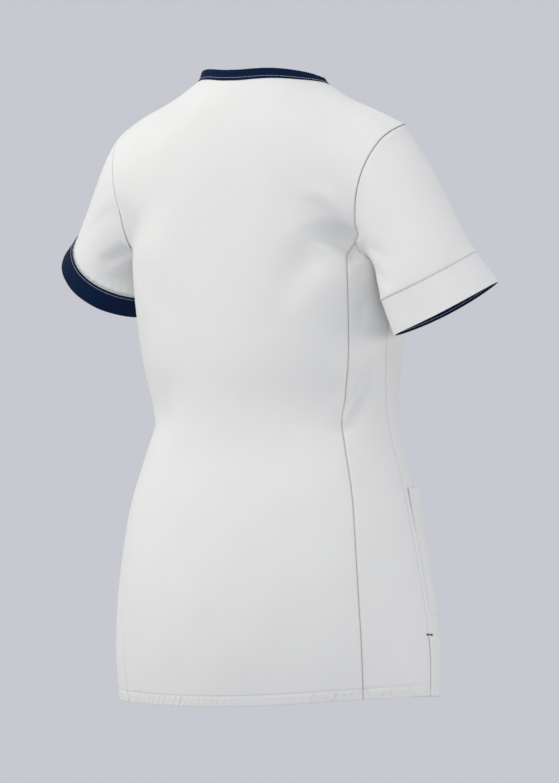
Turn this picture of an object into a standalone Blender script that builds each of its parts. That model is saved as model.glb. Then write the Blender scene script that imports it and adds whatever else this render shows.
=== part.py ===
"""Women's work tunic, worn on no wearer: white cloth, navy neck band and sleeve facings.

Lengths are in millimetres and become metres as each mesh is made. +Z is up and the front faces
-Y, so the wearer's right is -X. The origin lies midway between the two points where the neck band
meets the shoulder seams, which is where a wearer's shoulders hold the garment up.
"""

import math

import bmesh
import bpy
import numpy as np

MM = 0.001
WALL = 1.2
BAND_WALL = 1.6
SEAM_GAP = 0.3
LAYER_GAP = 0.4

FRONT, BACK = -1, 1
LEFT, RIGHT = 1, -1

HALF_NECK = 87.0
HALF_SHOULDER = 199.0
SHOULDER_DROP = 50.0
NECK_Y = -7.0
NECK_BACK_SHARE = 0.745
V_NECK_DEPTH, V_CURVE = 172.0, 1.25
BAND_HEIGHT = 11.5

SLIT_TOP_Z = -663.0
SLIT_HALF_GAP = 1.3
POCKET_TOP_Z, POCKET_BOTTOM_Z = -488.0, -640.0
POCKET_GAPE = 9.5

POCKET_CORNER_SHARE = 0.55
TIP_SHARE = 0.93
BAND_LEAN, BAND_END_FALL = 0.15, 0.85

CUFF_HEIGHT = 44.0
TURNED_LENGTH = 26.0
CUFF_HALF_TOP, CUFF_HALF_BACK, CUFF_FLARE, CUFF_DIP = 68.0, 64.0, 6.3, 4.0
CUFF_UNDER_SHARE = 0.90
SLEEVE_ROWS = 8
LEAVE_TOP, LEAVE_SIDE, LEAVE_UNDER = 0.70, 0.55, 0.50
LEAVE_REACH, ARRIVE_REACH = 0.6, 0.8
TOP_EASE, UNDER_EASE = 0.5, 0.6

WHITE = (0.86, 0.86, 0.85)
NAVY = (0.008, 0.022, 0.065)
ROUGHNESS = 0.85


def table(columns, *rows):
    """A short table whose named columns are arrays."""
    return dict(zip(columns.split(), np.array(rows, float).T))


def smooth_curve(knots, values):
    """The natural cubic spline through the values, as a function of the knots' measure."""
    count, step = len(knots), np.diff(knots)
    bend = np.zeros(count)
    system = np.eye(count)
    for i in range(1, count - 1):
        system[i, i - 1 : i + 2] = step[i - 1], 2 * (step[i - 1] + step[i]), step[i]
        rise = (values[i + 1] - values[i]) / step[i] - (values[i] - values[i - 1]) / step[i - 1]
        bend[i] = 6 * rise
    bend = np.linalg.solve(system, bend)

    def at(where):
        i = np.clip(np.searchsorted(knots, where) - 1, 0, count - 2)
        a = (knots[i + 1] - where) / step[i]
        b = 1 - a
        curved = (a**3 - a) * bend[i] + (b**3 - b) * bend[i + 1]
        return a * values[i] + b * values[i + 1] + curved * step[i] ** 2 / 6

    return at


# The body below the underarm. Each row is one ring of cloth, from hem to underarm. Its height
# differs a little between side seam, centre back and centre front, and square is 2 for an ellipse.
BODY = table(
    "side_z back_z front_z half_width side_y back_y front_y back_square front_square",
    (-737, -750, -735, 213.5, -37.0, 88.0, -157.0, 2.0, 2.1),
    (-695, -702, -694, 215.5, -34.0, 99.0, -158.0, 2.0, 2.1),
    (-650, -653, -652, 213.0, -31.0, 105.5, -157.0, 2.0, 2.1),
    (-600, -600, -600, 207.0, -27.0, 108.0, -156.0, 2.0, 2.1),
    (-545, -545, -545, 197.0, -24.5, 105.5, -152.0, 2.0, 2.1),
    (-500, -500, -500, 187.0, -23.5, 100.5, -147.0, 2.0, 2.1),
    (-460, -460, -460, 175.0, -25.5, 94.0, -141.0, 2.0, 2.1),
    (-430, -430, -430, 165.0, -28.0, 89.0, -137.5, 2.0, 2.1),
    (-405, -405, -405, 158.5, -29.5, 87.5, -136.5, 2.0, 2.1),
    (-375, -375, -375, 159.5, -24.0, 91.0, -135.0, 2.0, 2.15),
    (-335, -335, -347, 164.5, -16.0, 97.5, -136.5, 2.10, 2.25),
    (-290, -285, -318, 166.5, -15.5, 101.0, -143.5, 2.35, 2.4),
    (-250, -240, -292, 167.0, -19.0, 102.5, -148.0, 2.75, 2.5),
    (-215, -200, -268, 168.0, -20.0, 103.0, -147.0, 3.00, 2.5),
)

# The armholes, from the underarm, share 0, to the shoulder point, share 1.
BACK_ARMHOLE = table(
    "share x y z",
    (0.00, 168.0, -20.0, -215.0),
    (0.10, 165.5, 8.0, -212.0),
    (0.20, 163.5, 33.0, -203.0),
    (0.30, 163.5, 50.0, -186.0),
    (0.45, 167.0, 62.0, -155.0),
    (0.60, 174.0, 64.0, -121.0),
    (0.75, 183.0, 52.0, -88.0),
    (0.88, 191.5, 29.0, -64.0),
    (1.00, 199.0, -3.0, -50.0),
)
FRONT_ARMHOLE = table(
    "share x y z",
    (0.00, 168.0, -20.0, -215.0),
    (0.10, 164.5, -46.0, -211.0),
    (0.20, 160.0, -66.0, -199.0),
    (0.30, 157.0, -78.0, -181.0),
    (0.45, 156.0, -84.0, -149.0),
    (0.60, 161.0, -79.0, -117.0),
    (0.75, 172.0, -62.0, -87.0),
    (0.88, 186.0, -36.0, -65.0),
    (1.00, 199.0, -3.0, -50.0),
)

# The princess seams: how far out each lies, as a share of the half width. Levels run from -1 at
# the hem through 0 at the underarm, and then by the armhole's share.
BACK_PRINCESS = table(
    "level out",
    (-1.00, 0.780),
    (-0.75, 0.806),
    (-0.60, 0.828),
    (-0.46, 0.832),
    (-0.36, 0.853),
    (-0.24, 0.880),
    (-0.12, 0.903),
    (-0.03, 0.914),
    (0.05, 0.930),
    (0.15, 0.962),
    (0.28, 1.000),
)
FRONT_PRINCESS = table(
    "level out",
    (-1.00, 0.600),
    (-0.70, 0.590),
    (-0.40, 0.575),
    (-0.10, 0.610),
    (0.08, 0.690),
    (0.22, 0.800),
    (0.33, 0.915),
    (0.40, 1.000),
)

# Where each sleeve's cuff ends, and the way its opening faces. length is the cuff's own, from the
# cuff seam to its end: all of it on the right, and half of it where it is turned up on the left.
SLEEVES = table(
    "hand x y z axis_x axis_y axis_z length turned",
    (RIGHT, 247.0, -12.0, -276.0, 0.400, -0.245, -0.885, 44.0, 0),
    (LEFT, 232.5, -40.5, -228.0, 0.629, -0.311, -0.713, 26.0, 1),
)

# How rounded the cloth runs over the shoulder, front and back, as a superellipse's power.
ARCH_POWER = {BACK: 3.2, FRONT: 1.4}
ACROSS_POWER = {BACK: 3.0, FRONT: 2.6}
FLATTEN_BY = 0.30
KINK_ROUND = 0.3

# The ridge of the shoulder, along which the shoulder seam runs.
RIDGE = table(
    "out y z",
    (0.00, -6.0, 38.0),
    (0.44, -6.0, 0.0),
    (0.63, 6.0, -18.0),
    (0.82, 7.0, -33.0),
    (1.00, -3.0, -50.0),
)

BODY_LEVELS = np.linspace(-1, 0, len(BODY["side_z"]))
BODY_AT = {name: smooth_curve(BODY_LEVELS, values) for name, values in BODY.items()}
ARMHOLE_AT = {
    side: {name: smooth_curve(rows["share"], rows[name]) for name in "xyz"}
    for side, rows in ((BACK, BACK_ARMHOLE), (FRONT, FRONT_ARMHOLE))
}
PRINCESS_AT = {
    side: smooth_curve(rows["level"], rows["out"])
    for side, rows in ((BACK, BACK_PRINCESS), (FRONT, FRONT_PRINCESS))
}
RIDGE_AT = {name: smooth_curve(RIDGE["out"], RIDGE[name]) for name in "yz"}
PRINCESS_TOP = {BACK: BACK_PRINCESS["level"][-1], FRONT: FRONT_PRINCESS["level"][-1]}

RIDGE_CENTRE_Z = SHOULDER_DROP * HALF_NECK / (HALF_SHOULDER - HALF_NECK)


def ring_values(side, level):
    """Centre y, centre z and squareness of the body's ring at a level of 0 or less."""
    name = "back" if side == BACK else "front"
    return [BODY_AT[f"{name}_{what}"](level) for what in ("y", "z", "square")]


def arch(side, share):
    """How far the centre line has come in y and in z from underarm level to shoulder ridge."""
    power = ARCH_POWER[side]
    near, far = share ** (power / 2), (1 - share) ** (power / 2)
    turn = math.pi / 2 * near / (near + far)
    return math.cos(turn) ** (2 / power), math.sin(turn) ** (2 / power)


def body_point(side, angle, level):
    """A point of the cloth's outer face. angle is 0 at the centre line and 90 degrees at the
    side seam or armhole, negative on the wearer's right."""
    ring_level = min(level, 0.0)
    centre_y, centre_z, square = ring_values(side, ring_level)
    side_z, side_y = BODY_AT["side_z"](ring_level), BODY_AT["side_y"](ring_level)
    half_width = BODY_AT["half_width"](ring_level)
    out = abs(math.sin(angle)) ** (2 / square)
    across = max(math.cos(angle), 0.0) ** (2 / square)
    drop = 1 - out**2
    if level > 0:
        half_width, side_y, side_z = (ARMHOLE_AT[side][name](level) for name in "xyz")
        kept_y, risen_z = arch(side, level)
        centre_y = NECK_Y + (centre_y - NECK_Y) * kept_y
        centre_z += (RIDGE_CENTRE_Z - centre_z) * risen_z
        flat = min(level / FLATTEN_BY, 1.0)
        flat = flat * flat * (3 - 2 * flat)
        across = (1 - flat) * across + flat * (1 - out ** ACROSS_POWER[side])
        drop = (1 - level) * drop + level * (1 - rounded_share(out))
    y = side_y + (centre_y - side_y) * across
    z = side_z + (centre_z - side_z) * drop
    if level > 0:
        near = level**4
        y += near * (RIDGE_AT["y"](out) - ridge_before(side, out)[0])
        z += near * (RIDGE_AT["z"](out) - ridge_before(side, out)[1])
    return np.array((math.copysign(out * half_width, angle), y, z))


def rounded_share(out):
    """Grows from 0 to 1 with out, almost evenly but with no kink at the centre line."""
    return (math.hypot(out, KINK_ROUND) - KINK_ROUND) / (math.hypot(1, KINK_ROUND) - KINK_ROUND)


def ridge_before(side, out):
    """Where the blend alone would put the ridge."""
    end = [ARMHOLE_AT[side][name](1.0) for name in "yz"]
    across = 1 - out ** ACROSS_POWER[side]
    risen = (RIDGE_CENTRE_Z - end[1]) * (1 - rounded_share(out))
    return end[0] + (NECK_Y - end[0]) * across, end[1] + risen


def unit(vectors):
    return vectors / np.maximum(np.linalg.norm(vectors, axis=-1, keepdims=True), 1e-12)


def body_normal(side, angle, level):
    """The cloth's outward direction, from small steps along and across it. Both panels of a side
    seam or shoulder seam share one, so that their walls meet face to face."""
    if level >= 1:
        return unit(np.array((math.copysign(SHOULDER_DROP, angle), 0, HALF_SHOULDER - HALF_NECK)))
    if level <= 0 and abs(angle) > math.pi / 2 - 1e-6:
        return unit(one_normal(FRONT, angle, level) + one_normal(BACK, angle, level))
    return one_normal(side, angle, level)


def one_normal(side, angle, level):
    step_angle, step_level = 0.004, 0.003
    low_angle = max(angle - step_angle, -math.pi / 2)
    high_angle = min(angle + step_angle, math.pi / 2)
    low_level, high_level = max(level - step_level, -1), min(level + step_level, 1)
    if level > 0:
        low_level = max(low_level, 1e-4)
    else:
        high_level = min(high_level, 0)
    along = body_point(side, angle, high_level) - body_point(side, angle, low_level)
    round_body = body_point(side, high_angle, level) - body_point(side, low_angle, level)
    return unit(np.cross(along, round_body)) * side


def angle_of(side, out, level):
    """The angle whose point lies that share of the half width from the centre line."""
    square = ring_values(side, min(level, 0.0))[2]
    return math.copysign(math.asin(min(abs(out), 1.0) ** (square / 2)), out)


def princess_out(side, level):
    return 1.0 if level >= PRINCESS_TOP[side] else min(float(PRINCESS_AT[side](level)), 1.0)


def neck_level(side, out):
    """The level at which the panel's column ends: the neck edge, or the shoulder seam."""
    share = abs(out) * HALF_SHOULDER / HALF_NECK
    if share >= 1:
        return 1.0
    power = ARCH_POWER[side]
    if side == BACK:
        kept = NECK_BACK_SHARE * math.sqrt(1 - share**2)
        turn = math.acos(kept ** (power / 2))
    else:
        low = ring_values(FRONT, 0.0)[1]
        ridge = RIDGE_CENTRE_Z * (1 - share * HALF_NECK / HALF_SHOULDER)
        ridge -= SHOULDER_DROP * share * HALF_NECK / HALF_SHOULDER
        risen = (-V_NECK_DEPTH * (1 - share**V_CURVE) - low) / (ridge - low)
        turn = math.asin(min(risen, 1.0) ** (power / 2))
    turned = turn / (math.pi / 2)
    ratio = (turned / (1 - turned)) ** (2 / power)
    return ratio / (1 + ratio)


ROW_HEIGHTS = (-737, -716, -690, -663, -640, -602, -564, -526, -488, -455, -425, -395, -355)
ROW_HEIGHTS += (-310, -262, -215)
UNDERARM_LEVELS = (0.06, 0.13, 0.22, 0.31, 0.40, 0.52, 0.64, 0.76, 0.88, 1.0)
NECK_STEPS = 5
SHOULDER_STEPS = 3
SIDE_STEPS = {BACK: 3, FRONT: 5}
POCKET_COLUMN = 2


def level_of(height):
    """The level whose ring lies at a height at the side seam."""
    levels = np.linspace(-1, 0, 401)
    return float(np.interp(height, BODY_AT["side_z"](levels), levels))


LOW_LEVELS = [level_of(height) for height in ROW_HEIGHTS]
ALL_LEVELS = LOW_LEVELS + list(UNDERARM_LEVELS)


def centre_columns():
    """Shares of the half width across a centre panel. The neck's columns close up towards the
    shoulder, so that its curve is even."""
    neck = HALF_NECK / HALF_SHOULDER
    turns = np.arange(-NECK_STEPS, NECK_STEPS + 1) * math.pi / 2 / NECK_STEPS
    shoulder = np.linspace(neck, 1, SHOULDER_STEPS + 1)[1:]
    return np.concatenate([-shoulder[::-1], neck * np.sin(turns), shoulder])


def centre_place(side, column, level):
    at = level * neck_level(side, column) if level > 0 else level
    return angle_of(side, column * princess_out(side, level), at), at


def side_angles(side, level):
    """The side panel's columns, from princess seam to side seam. The last step is narrow."""
    start = angle_of(side, princess_out(side, level), level)
    steps = list(np.linspace(0, 0.94, SIDE_STEPS[side])) + [1.0]
    return [start + (math.pi / 2 - start) * step for step in steps]


def grid_of(side, places):
    """Outer points and outward directions for rows of (angle, level) places."""
    points = [[body_point(side, *place) for place in row] for row in places]
    normals = [[body_normal(side, *place) for place in row] for row in places]
    return np.array(points), np.array(normals)


def set_back(points, edge, distance, closed=False):
    """Moves one edge of a grid into the cloth, square to that edge, so that a seam has its gap."""
    rows = points if edge.endswith("row") else points.transpose(1, 0, 2)
    outer, inner = (0, 1) if edge.startswith("first") else (-1, -2)
    line = rows[outer].copy()
    if closed:
        along = unit(np.roll(line, -1, axis=0) - np.roll(line, 1, axis=0))
    else:
        along = unit(np.gradient(line, axis=0))
    into = rows[inner] - line
    into -= (into * along).sum(-1, keepdims=True) * along
    room = 0.45 * np.linalg.norm(into, axis=-1)
    rows[outer] = line + unit(into) * np.minimum(distance, room)[:, None]


def wall_of(points, normals, thickness):
    return points, points - normals * thickness


def material(name, colour, roughness):
    made = bpy.data.materials.new(name)
    made.use_nodes = True
    shader = made.node_tree.nodes["Principled BSDF"]
    shader.inputs["Base Color"].default_value = (*colour, 1)
    shader.inputs["Roughness"].default_value = roughness
    shader.inputs["Metallic"].default_value = 0.0
    return made


def add_solid(name, skins, colour, closed=False):
    """One closed wall of cloth between its outer and inner skin. closed joins the last column to
    the first, as round a sleeve."""
    rows, columns = skins[0].shape[:2]
    mesh = bmesh.new()
    front, rear = (
        [[mesh.verts.new(point * MM) for point in row] for row in skin] for skin in skins
    )
    spans = columns if closed else columns - 1
    for skin in (front, rear):
        for i in range(rows - 1):
            for j in range(spans):
                k = (j + 1) % columns
                mesh.faces.new((skin[i][j], skin[i][k], skin[i + 1][k], skin[i + 1][j]))
    for i in (0, rows - 1):
        for j in range(spans):
            k = (j + 1) % columns
            mesh.faces.new((front[i][j], front[i][k], rear[i][k], rear[i][j]))
    if not closed:
        for j in (0, columns - 1):
            for i in range(rows - 1):
                mesh.faces.new((front[i][j], front[i + 1][j], rear[i + 1][j], rear[i][j]))
    bmesh.ops.triangulate(mesh, faces=mesh.faces)
    bmesh.ops.recalc_face_normals(mesh, faces=mesh.faces)
    data = bpy.data.meshes.new(name)
    mesh.to_mesh(data)
    mesh.free()
    data.materials.append(material(name, colour, ROUGHNESS))
    data.shade_smooth()
    data.set_sharp_from_angle(angle=math.radians(50))
    solid = bpy.data.objects.new(name, data)
    bpy.context.scene.collection.objects.link(solid)


def make_centre_panel(name, side):
    places = [[centre_place(side, column, level) for column in centre_columns()]
              for level in ALL_LEVELS]
    points, normals = grid_of(side, places)
    for edge in ("last_row", "first_column", "last_column"):
        set_back(points, edge, SEAM_GAP / 2)
    add_solid(name, wall_of(points, normals, WALL), WHITE)


def make_side_panel(name, side, hand):
    """The panel between princess seam and side seam. It narrows to a tip at the armhole."""
    levels = [level for level in ALL_LEVELS if level < PRINCESS_TOP[side] - 1e-6]
    places = [[(hand * angle, level) for angle in side_angles(side, level)] for level in levels]
    points, normals = grid_of(side, places)
    tip = body_point(side, hand * math.pi / 2, PRINCESS_TOP[side])
    short = points[-1] + (tip - points[-1]) * TIP_SHARE
    points = np.concatenate([points, short[None]])
    normals = np.concatenate([normals, normals[-1:]])
    set_back(points, "first_column", SEAM_GAP / 2)
    gap = np.where(points[:, -1, 2] < SLIT_TOP_Z - 1, SLIT_HALF_GAP, SEAM_GAP / 2)
    set_back(points, "last_column", gap)
    add_solid(name, wall_of(points, normals, WALL), WHITE)


def pocket_places(hand):
    """The pocket's rows and columns are the panels' own, so that it follows their facets."""
    columns = centre_columns()[-1 - POCKET_COLUMN :]
    rows = []
    for level in LOW_LEVELS:
        if level_of(POCKET_BOTTOM_Z) - 1e-6 <= level <= level_of(POCKET_TOP_Z) + 1e-6:
            angles = [centre_place(FRONT, column, level)[0] for column in columns]
            angles += side_angles(FRONT, level)[1:-1]
            rows.append([(hand * angle, level) for angle in angles])
    return rows


def make_pocket(name, hand):
    """A patch pocket on the front, stitched at its sides and foot and gaping along its top."""
    points, normals = grid_of(FRONT, pocket_places(hand))
    height = np.linspace(0, 1, len(points))[:, None]
    across = np.linspace(0, 1, points.shape[1])[None, :]
    bulge = np.sin(math.pi * across) ** 0.7
    corner = POCKET_CORNER_SHARE * across**3
    gape = POCKET_GAPE * np.maximum(bulge, corner) * height**2.2
    lifted = points + normals * (WALL + LAYER_GAP + gape)[:, :, None]
    add_solid(name, wall_of(lifted, normals, WALL), WHITE)


def neck_shares():
    limit = HALF_NECK / HALF_SHOULDER + 1e-9
    return [column for column in centre_columns() if abs(column) <= limit]


def make_neck_band():
    """The band stands up behind the neck, leans in towards it over the shoulders, and lies in
    the cloth of the front down to the mitre at the foot of the V."""
    places = [(BACK, share) for share in neck_shares()]
    places += [(FRONT, share) for share in neck_shares()[::-1][1:-1]]
    at = [(side, *centre_place(side, share, 1.0)) for side, share in places]
    line = np.array([body_point(*place) for place in at])
    faces = np.array([body_normal(*place) for place in at])
    ahead = unit(np.roll(line, -1, axis=0) - line)
    behind = unit(line - np.roll(line, 1, axis=0))
    along = unit(ahead + behind)
    lying = unit(np.cross(along, faces))
    inward = unit(line * (-1, -1, 0) + (0, NECK_Y, 0))
    standing = unit(np.array((0, 0, 1)) + BAND_LEAN * inward)
    front = np.array([side == FRONT for side, share in places])
    fall = np.clip(-line[:, 2] / V_NECK_DEPTH * 3, 0, 1) * front
    fall = np.maximum(fall, BAND_END_FALL * np.abs(line[:, 0] / HALF_NECK) ** 5)
    up = standing * (1 - fall[:, None]) + lying * fall[:, None]
    up = unit(up - (up * along).sum(-1, keepdims=True) * along)
    at_foot = np.array([[side == FRONT and abs(share) < 1e-9] for side, share in places])
    mitre = np.where(at_foot, 1 / np.sqrt(1 - (up * behind).sum(-1, keepdims=True) ** 2), 1.0)
    heights = (SEAM_GAP / 2, BAND_HEIGHT / 2, BAND_HEIGHT)
    points = np.array([line + up * mitre * height for height in heights])
    normals = np.array([unit(np.cross(up, along))] * len(heights))
    add_solid("neck_band", wall_of(points, normals, BAND_WALL), NAVY, closed=True)


def armhole_loop(hand):
    """The sleeve's first ring, from the shoulder point down the back and up the front, and how
    far round from the shoulder each point lies, from 0 to 1 at the underarm and on to 2."""
    levels = [(BACK, level) for level in reversed(UNDERARM_LEVELS)] + [(BACK, 0.0)]
    levels += [(FRONT, level) for level in UNDERARM_LEVELS[:-1]]
    loop = np.array([body_point(side, math.pi / 2, level) for side, level in levels])
    low = len(UNDERARM_LEVELS)
    steps = np.linalg.norm(np.roll(loop, -1, axis=0) - loop, axis=1)
    back = np.concatenate([[0], np.cumsum(steps[:low])])
    front = np.cumsum(steps[low:])
    around = np.concatenate([back / back[-1], 1 + front / front[-1]])[: len(loop)]
    return loop * np.array((hand, 1, 1)), around


def sleeve_frame(row):
    """The cuff's centre, its axis, and its two directions: towards the top line and the back."""
    axis = unit(np.array((row["hand"] * row["axis_x"], row["axis_y"], row["axis_z"])))
    top = unit(np.array((0, 0, 1)) - axis[2] * axis)
    back = np.cross(axis, top)
    back *= np.sign(back[1])
    centre = np.array((row["hand"] * row["x"], row["y"], row["z"]))
    return centre, axis, top, back


def cuff_ring(row, around, along, out):
    """A ring of the cuff: along runs down from the cuff seam, out is measured from its face."""
    centre, axis, top, back = sleeve_frame(row)
    flare = along / CUFF_HEIGHT
    under = np.where(np.cos(math.pi * around) < 0, CUFF_UNDER_SHARE, 1.0)[:, None]
    half_top = (CUFF_HALF_TOP + CUFF_FLARE * flare) * under + out
    half_back = CUFF_HALF_BACK + CUFF_FLARE * flare + out
    turn = math.pi * around[:, None]
    middle = centre + axis * (along - row["length"] + CUFF_DIP * np.sin(turn) ** 2)
    return middle + top * half_top * np.cos(turn) + back * half_back * np.sin(turn)


def grid_normals(points, hand):
    down = np.gradient(points, axis=0)
    round_ring = np.roll(points, -1, axis=1) - np.roll(points, 1, axis=1)
    return unit(np.cross(round_ring, down)) * -hand


def make_sleeve(name, row):
    """Each column is a cubic from the armhole to the cuff seam. At the top the cloth leaves the
    armhole sideways, over the shoulder, and under the arm it leaves almost along the arm."""
    hand = row["hand"]
    start, around = armhole_loop(hand)
    axis = sleeve_frame(row)[1]
    finish = cuff_ring(row, around, -SEAM_GAP / 2, 0.0)
    height = 0.5 + 0.5 * np.cos(math.pi * around)
    share = LEAVE_UNDER + (LEAVE_TOP - LEAVE_UNDER) * height
    share = np.maximum(share, LEAVE_SIDE * np.abs(np.sin(math.pi * around)))[:, None]
    leaving = unit(unit(np.array((hand, 0, -0.38))) * share + axis * (1 - share))
    reach = np.linalg.norm(finish - start, axis=1)[:, None]
    rows = []
    for t in np.linspace(0, 1, SLEEVE_ROWS):
        ends = (2 * t**3 - 3 * t**2 + 1) * start + (3 * t**2 - 2 * t**3) * finish
        bends = (t**3 - 2 * t**2 + t) * leaving * LEAVE_REACH + (t**3 - t**2) * axis * ARRIVE_REACH
        rows.append(ends + bends * reach)
    points = np.array(rows)
    set_back(points, "first_row", SEAM_GAP + TOP_EASE * height, closed=True)
    points[0, :, 0] += hand * UNDER_EASE * (1 - height) ** 2
    outer, inner = wall_of(points, grid_normals(points, hand), WALL)
    inner[-1] = cuff_ring(row, around, -SEAM_GAP / 2, -WALL)
    add_solid(name, (outer, inner), WHITE, closed=True)


def make_cuff(name, row, colour, path):
    """A wall of even thickness all round the arm, whose middle follows a path of (along, out)."""
    around = armhole_loop(row["hand"])[1]
    path = np.array(path, float)
    heading = unit(np.gradient(path, axis=0))
    across = np.column_stack([-heading[:, 1], heading[:, 0]]) * WALL / 2
    skins = [
        np.array([cuff_ring(row, around, *place) for place in path + sign * across])
        for sign in (1, -1)
    ]
    add_solid(name, skins, colour, closed=True)


def turned_path(inner_out, outer_out, start, top):
    """Down the inside to the fold, round it, and up the outside."""
    radius, middle = (outer_out - inner_out) / 2, (outer_out + inner_out) / 2
    turns = np.linspace(-math.pi / 2, math.pi / 2, 5)
    fold = [(TURNED_LENGTH + radius * math.cos(t), middle + radius * math.sin(t)) for t in turns]
    return [(start, inner_out), *fold, (top, outer_out)]


def make_cuffs(word, row):
    face = -WALL / 2
    inside = face - WALL - LAYER_GAP
    if row["turned"]:
        outer = face + WALL + LAYER_GAP
        over = outer + WALL + LAYER_GAP
        make_cuff(f"cuff_{word}", row, WHITE, turned_path(face, outer, SEAM_GAP / 2, 0.8))
        make_cuff(f"cuff_facing_{word}", row, NAVY, turned_path(inside, over, 1.5, 0.0))
    else:
        make_cuff(f"cuff_{word}", row, WHITE, [(SEAM_GAP / 2, face), (19, face), (CUFF_HEIGHT, face)])
        make_cuff(f"cuff_facing_{word}", row, NAVY, [(1.5, inside), (19, inside), (CUFF_HEIGHT, inside)])


def main():
    for item in list(bpy.data.objects):
        bpy.data.objects.remove(item)
    make_centre_panel("back_centre", BACK)
    make_centre_panel("front_centre", FRONT)
    for word, hand in (("left", LEFT), ("right", RIGHT)):
        make_side_panel(f"back_side_{word}", BACK, hand)
        make_side_panel(f"front_side_{word}", FRONT, hand)
        make_pocket(f"pocket_{word}", hand)
    make_neck_band()
    for index, hand in enumerate(SLEEVES["hand"]):
        row = {name: float(values[index]) for name, values in SLEEVES.items()}
        word = "left" if hand == LEFT else "right"
        make_sleeve(f"sleeve_{word}", row)
        make_cuffs(word, row)


main()
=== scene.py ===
# %% [markdown]
# The work tunic arrives as a frame of plain solids, and this lesson dresses it. The solids say
# where every piece lies and how large it is. What they lack is the look of sewn cloth: thin
# edges, rolled seams, soft creases, stitches and weave. So each piece is made again here as a
# thin sheet on the same surface, and takes its solid's place in the render.

# %% The frame
import math

import bpy
import numpy as np
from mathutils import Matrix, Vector


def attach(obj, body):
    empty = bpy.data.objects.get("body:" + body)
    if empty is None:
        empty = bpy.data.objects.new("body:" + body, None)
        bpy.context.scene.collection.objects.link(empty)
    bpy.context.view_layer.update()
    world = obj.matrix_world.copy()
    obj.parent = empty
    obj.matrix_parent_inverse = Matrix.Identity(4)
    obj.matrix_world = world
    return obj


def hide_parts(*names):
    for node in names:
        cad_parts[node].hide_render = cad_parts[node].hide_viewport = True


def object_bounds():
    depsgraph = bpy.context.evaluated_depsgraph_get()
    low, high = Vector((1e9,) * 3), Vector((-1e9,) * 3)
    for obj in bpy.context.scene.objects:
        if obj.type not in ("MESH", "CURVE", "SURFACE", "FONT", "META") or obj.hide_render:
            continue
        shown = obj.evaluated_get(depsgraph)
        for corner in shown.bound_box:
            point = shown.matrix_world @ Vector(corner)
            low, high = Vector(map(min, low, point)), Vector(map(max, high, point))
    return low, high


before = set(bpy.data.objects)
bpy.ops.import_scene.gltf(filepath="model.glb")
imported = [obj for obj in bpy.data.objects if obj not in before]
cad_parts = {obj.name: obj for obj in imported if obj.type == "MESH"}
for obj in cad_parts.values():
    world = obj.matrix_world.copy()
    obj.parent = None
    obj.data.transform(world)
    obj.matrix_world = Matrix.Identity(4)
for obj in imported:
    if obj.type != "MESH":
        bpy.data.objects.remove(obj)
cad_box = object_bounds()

MM = 0.001
print("solids in the frame:", len(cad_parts))

# %% [markdown]
# A camera far away with a long lens keeps the garment's upright lines upright, as a catalogue
# picture does. It could be placed by eye, but here it is worked out: the photograph looks at the
# back, turned towards the wearer's right, from a little below the hem's height.

# %% The camera
TURN = math.radians(212.0)
DISTANCE = 21.0
CAMERA_HEIGHT = -1.038
PIXELS_PER_MM = 0.83
FRAME_WIDTH, FRAME_HEIGHT = 559, 783
AXIS_PIXEL_X, ORIGIN_PIXEL_Y = 263.5, 85.0
SENSOR = 36.0

toward_camera = Vector((math.sin(TURN), -math.cos(TURN), 0.0))
to_the_right = Vector((math.cos(TURN), math.sin(TURN), 0.0))


def aim_point():
    """The point of the picture's plane that the middle of the frame looks at."""
    right = (FRAME_WIDTH / 2 - AXIS_PIXEL_X) / PIXELS_PER_MM * MM
    down = (FRAME_HEIGHT / 2 - ORIGIN_PIXEL_Y) / PIXELS_PER_MM * MM
    return to_the_right * right + Vector((0, 0, -down))


def in_scene(name, data):
    """A new object with that name and data, in the scene."""
    made = bpy.data.objects.new(name, data)
    bpy.context.scene.collection.objects.link(made)
    return made


def add_camera():
    """The photograph's view, as the scene's camera."""
    data = bpy.data.cameras.new("camera")
    data.sensor_width = SENSOR
    data.lens = SENSOR * PIXELS_PER_MM / MM * DISTANCE / FRAME_HEIGHT
    data.clip_end = 200.0
    camera = in_scene("camera", data)
    camera.location = toward_camera * DISTANCE + Vector((0, 0, CAMERA_HEIGHT))
    look = aim_point() - camera.location
    camera.rotation_euler = look.to_track_quat("-Z", "Y").to_euler()
    bpy.context.scene.camera = camera
    return data.lens


print("lens in mm:", round(add_camera(), 1))

# %% [markdown]
# Most of a garment's surface can be told by a few rings and lines, with a smooth curve through
# them. These short tables repeat the pattern of the solids: rings from hem to underarm, the two
# armholes, the princess seams and the ridge of the shoulders. One function then gives any point
# of the cloth, so that all panels share exactly the same surface at their seams.

# %% The pattern's tables
FRONT, BACK = -1, 1
LEFT, RIGHT = 1, -1
SIDE_WORD, HAND_WORD = {BACK: "back", FRONT: "front"}, {LEFT: "left", RIGHT: "right"}
HALF_NECK, HALF_SHOULDER, SHOULDER_DROP = 87.0, 199.0, 50.0
NECK_Y, NECK_BACK_SHARE = -7.0, 0.745
V_NECK_DEPTH, V_CURVE = 172.0, 1.25
RIDGE_CENTRE_Z = SHOULDER_DROP * HALF_NECK / (HALF_SHOULDER - HALF_NECK)
NECK_SHARE = HALF_NECK / HALF_SHOULDER
ARCH_POWER = {BACK: 3.2, FRONT: 1.4}
ACROSS_POWER = {BACK: 3.0, FRONT: 2.6}
FLATTEN_BY, KINK_ROUND = 0.30, 0.3


def table(columns, *rows):
    """A short table whose named columns are arrays."""
    return dict(zip(columns.split(), np.array(rows, float).T))


def rows_of(columns):
    """The same table as a list of rows, each with its named values."""
    count = len(next(iter(columns.values())))
    return [{name: float(values[i]) for name, values in columns.items()} for i in range(count)]


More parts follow.
